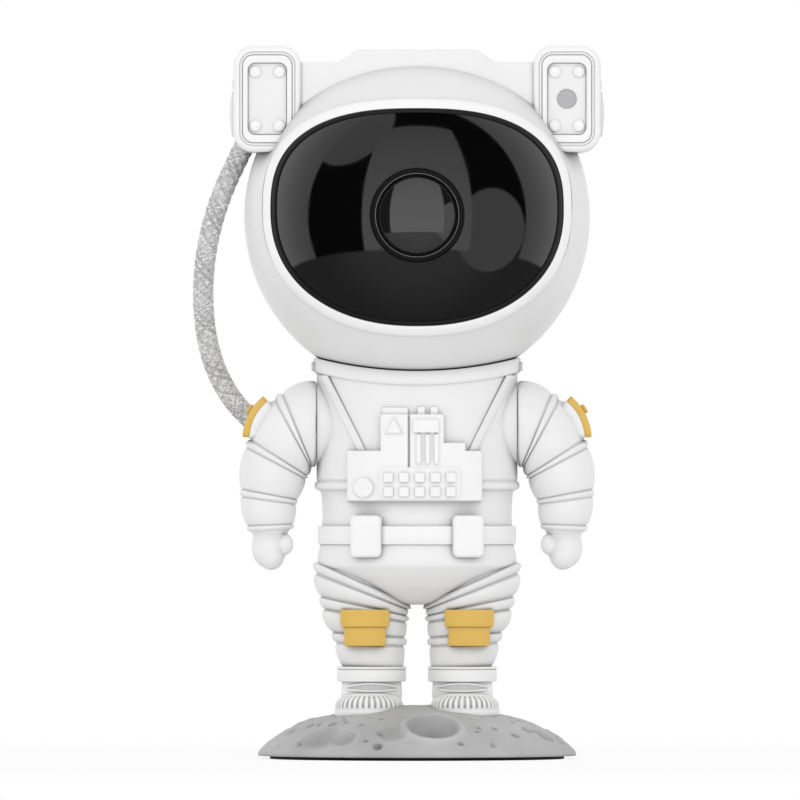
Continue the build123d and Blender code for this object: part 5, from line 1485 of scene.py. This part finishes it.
def earRing(side, insetX, insetZ, y):
    corner = max(ear["corner"] - max(insetX, insetZ), ear["leastCorner"])
    outline = cornerPoints(ear["width"] - 2 * insetX, ear["height"] - 2 * insetZ, corner, ear["cornerTurn"])
    return [(side * ear["x"] + u, y, ear["z"] + v) for u, v in outline]


# Low dome on the outer side of an ear box
def discSkin(side, y, z, radius, height):
    base = ear["x"] + ear["width"] / 2
    scale = height / ear["disc"][-1][1]
    profile = [(1.0, base - ear["discSink"])] + [(r, base + lift * scale) for r, lift in ear["disc"]]
    return loftRings([sideRing(ear["discColumns"], side * x, y, z, radius * r) for r, x in profile])


def addEars():
    discs, panels, rivets = [], [], []
    outline = roundedOutline(*ear["panelSize"], ear["panelCorner"])
    panelRise = ear["panelBack"] - ear["panelY"]
    for name, side in sides:
        box = loftRings([earRing(side, *loop) for loop in ear["loops"]])
        place(buildPiece(name + "_ear_box", box, trimWhite, 45), "head", "white_plastic", name + "_ear")
        surface = onFlat((side * ear["x"], ear["panelBack"], ear["z"]), (1, 0, 0), (0, 0, 1), (0, -1, 0))
        panels.append(plateSkin(outline, surface, panelRise, ear["panelEdge"], ear["panelSink"]))
        for dx in (-ear["rivetX"], ear["rivetX"]):
            for dz in (-ear["rivetZ"], ear["rivetZ"]):
                rivets.append((side * ear["x"] + dx, ear["panelY"], ear["z"] + dz))
        discs += [discSkin(side, *disc) for disc in ear["discs"]]
    place(buildPiece("ear_plates", joinSkins(panels), panelGrey), "head", "panel_grey", "ear_panels")
    facing = [(0, -1, 0)] * len(rivets)
    place(setBlocks("ear_rivets", rivets, facing, ear["rivetSize"], 0.0, trimWhite), "head", "white_plastic")
    place(buildPiece("ear_side_discs", joinSkins(discs), panelGrey, 50), "head", "panel_grey", "ear_discs")
    window = loftRings(spinProfile(ear["window"], ear["x"], ear["z"], ear["windowColumns"]))
    place(buildPiece("laser_glass", window, windowGrey, 50), "head", "window_grey", "laser_window")
    print("ears ready")


addEars()


crown = {
    "top": 226.1, "shoulder": 222.2, "half": 18.9, "shoulderHalf": 25.1, "softShare": 0.3,
    "end": 37.2, "rows": 150, "front": 27.9, "back": 20.0,
    "arc": 102.0, "edge": 0.9, "edgeSteps": 8, "foot": 205.0,
}


def addCrown():
    rings = []
    edge, soft = crown["edge"], crown["softShare"]
    turns = np.radians(np.linspace(0, 90, crown["edgeSteps"]))
    inset, drop = edge * (1 - np.cos(turns)), edge * (1 - np.sin(turns))
    for x in np.linspace(-crown["end"], crown["end"], crown["rows"]):
        share = np.clip((abs(x) - crown["half"]) / (crown["shoulderHalf"] - crown["half"]), 0, 1)
        top = crown["top"] - (crown["top"] - crown["shoulder"]) * (share * (1 - soft) + soft * ease(share))
        bow = crown["arc"] - math.sqrt(crown["arc"] ** 2 - x * x)
        front, back = bow - crown["front"], crown["back"] - bow
        ring = [(x, front, crown["foot"])] + [(x, front + i, top - d) for i, d in zip(inset, drop)]
        ring += [(x, back - i, top - d) for i, d in zip(inset[::-1], drop[::-1])] + [(x, back, crown["foot"])]
        rings.append(ring)
    place(buildPiece("crown_band", loftRings(rings), crownWhite, 45), "head", "white_plastic", "crown_bar")
    print("crown ready")


addCrown()


# CAD nodes that keep their own shape get their finishes

finishes = {
    "pad_rubber": padRubber, "dark_plastic": darkPlastic, "weight_steel": weightSteel,
    "screw_steel": screwSteel, "moon_grey": moonGrey, "white_plastic": trimWhite,
    "yellow_plastic": patchYellow, "magnet_plating": magnetPlating,
    "board_green": boardGreen, "board_white": boardWhite,
    "grey_plastic": greyPlastic, "panel_grey": panelGrey, "window_grey": windowGrey, "hose_braid": hoseBraid,
    "visor_black": visorBlack, "bezel_black": bezelBlack, "lens_glass": lensGlass, "wheel_clear": clearWheel,
    "motor_steel": motorSteel, "pinion_brass": brass, "laser_brass": brass, "sink_aluminium": aluminium,
}
ownFinish = {"helmet_front": helmetWhite, "helmet_rear": helmetWhite}


def finishNodes():
    for name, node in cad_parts.items():
        for slot in node.material_slots:
            if slot.material:
                slot.material = ownFinish.get(name, finishes.get(slot.material.name.split(".")[0], trimWhite))
    print("nodes finished")


finishNodes()
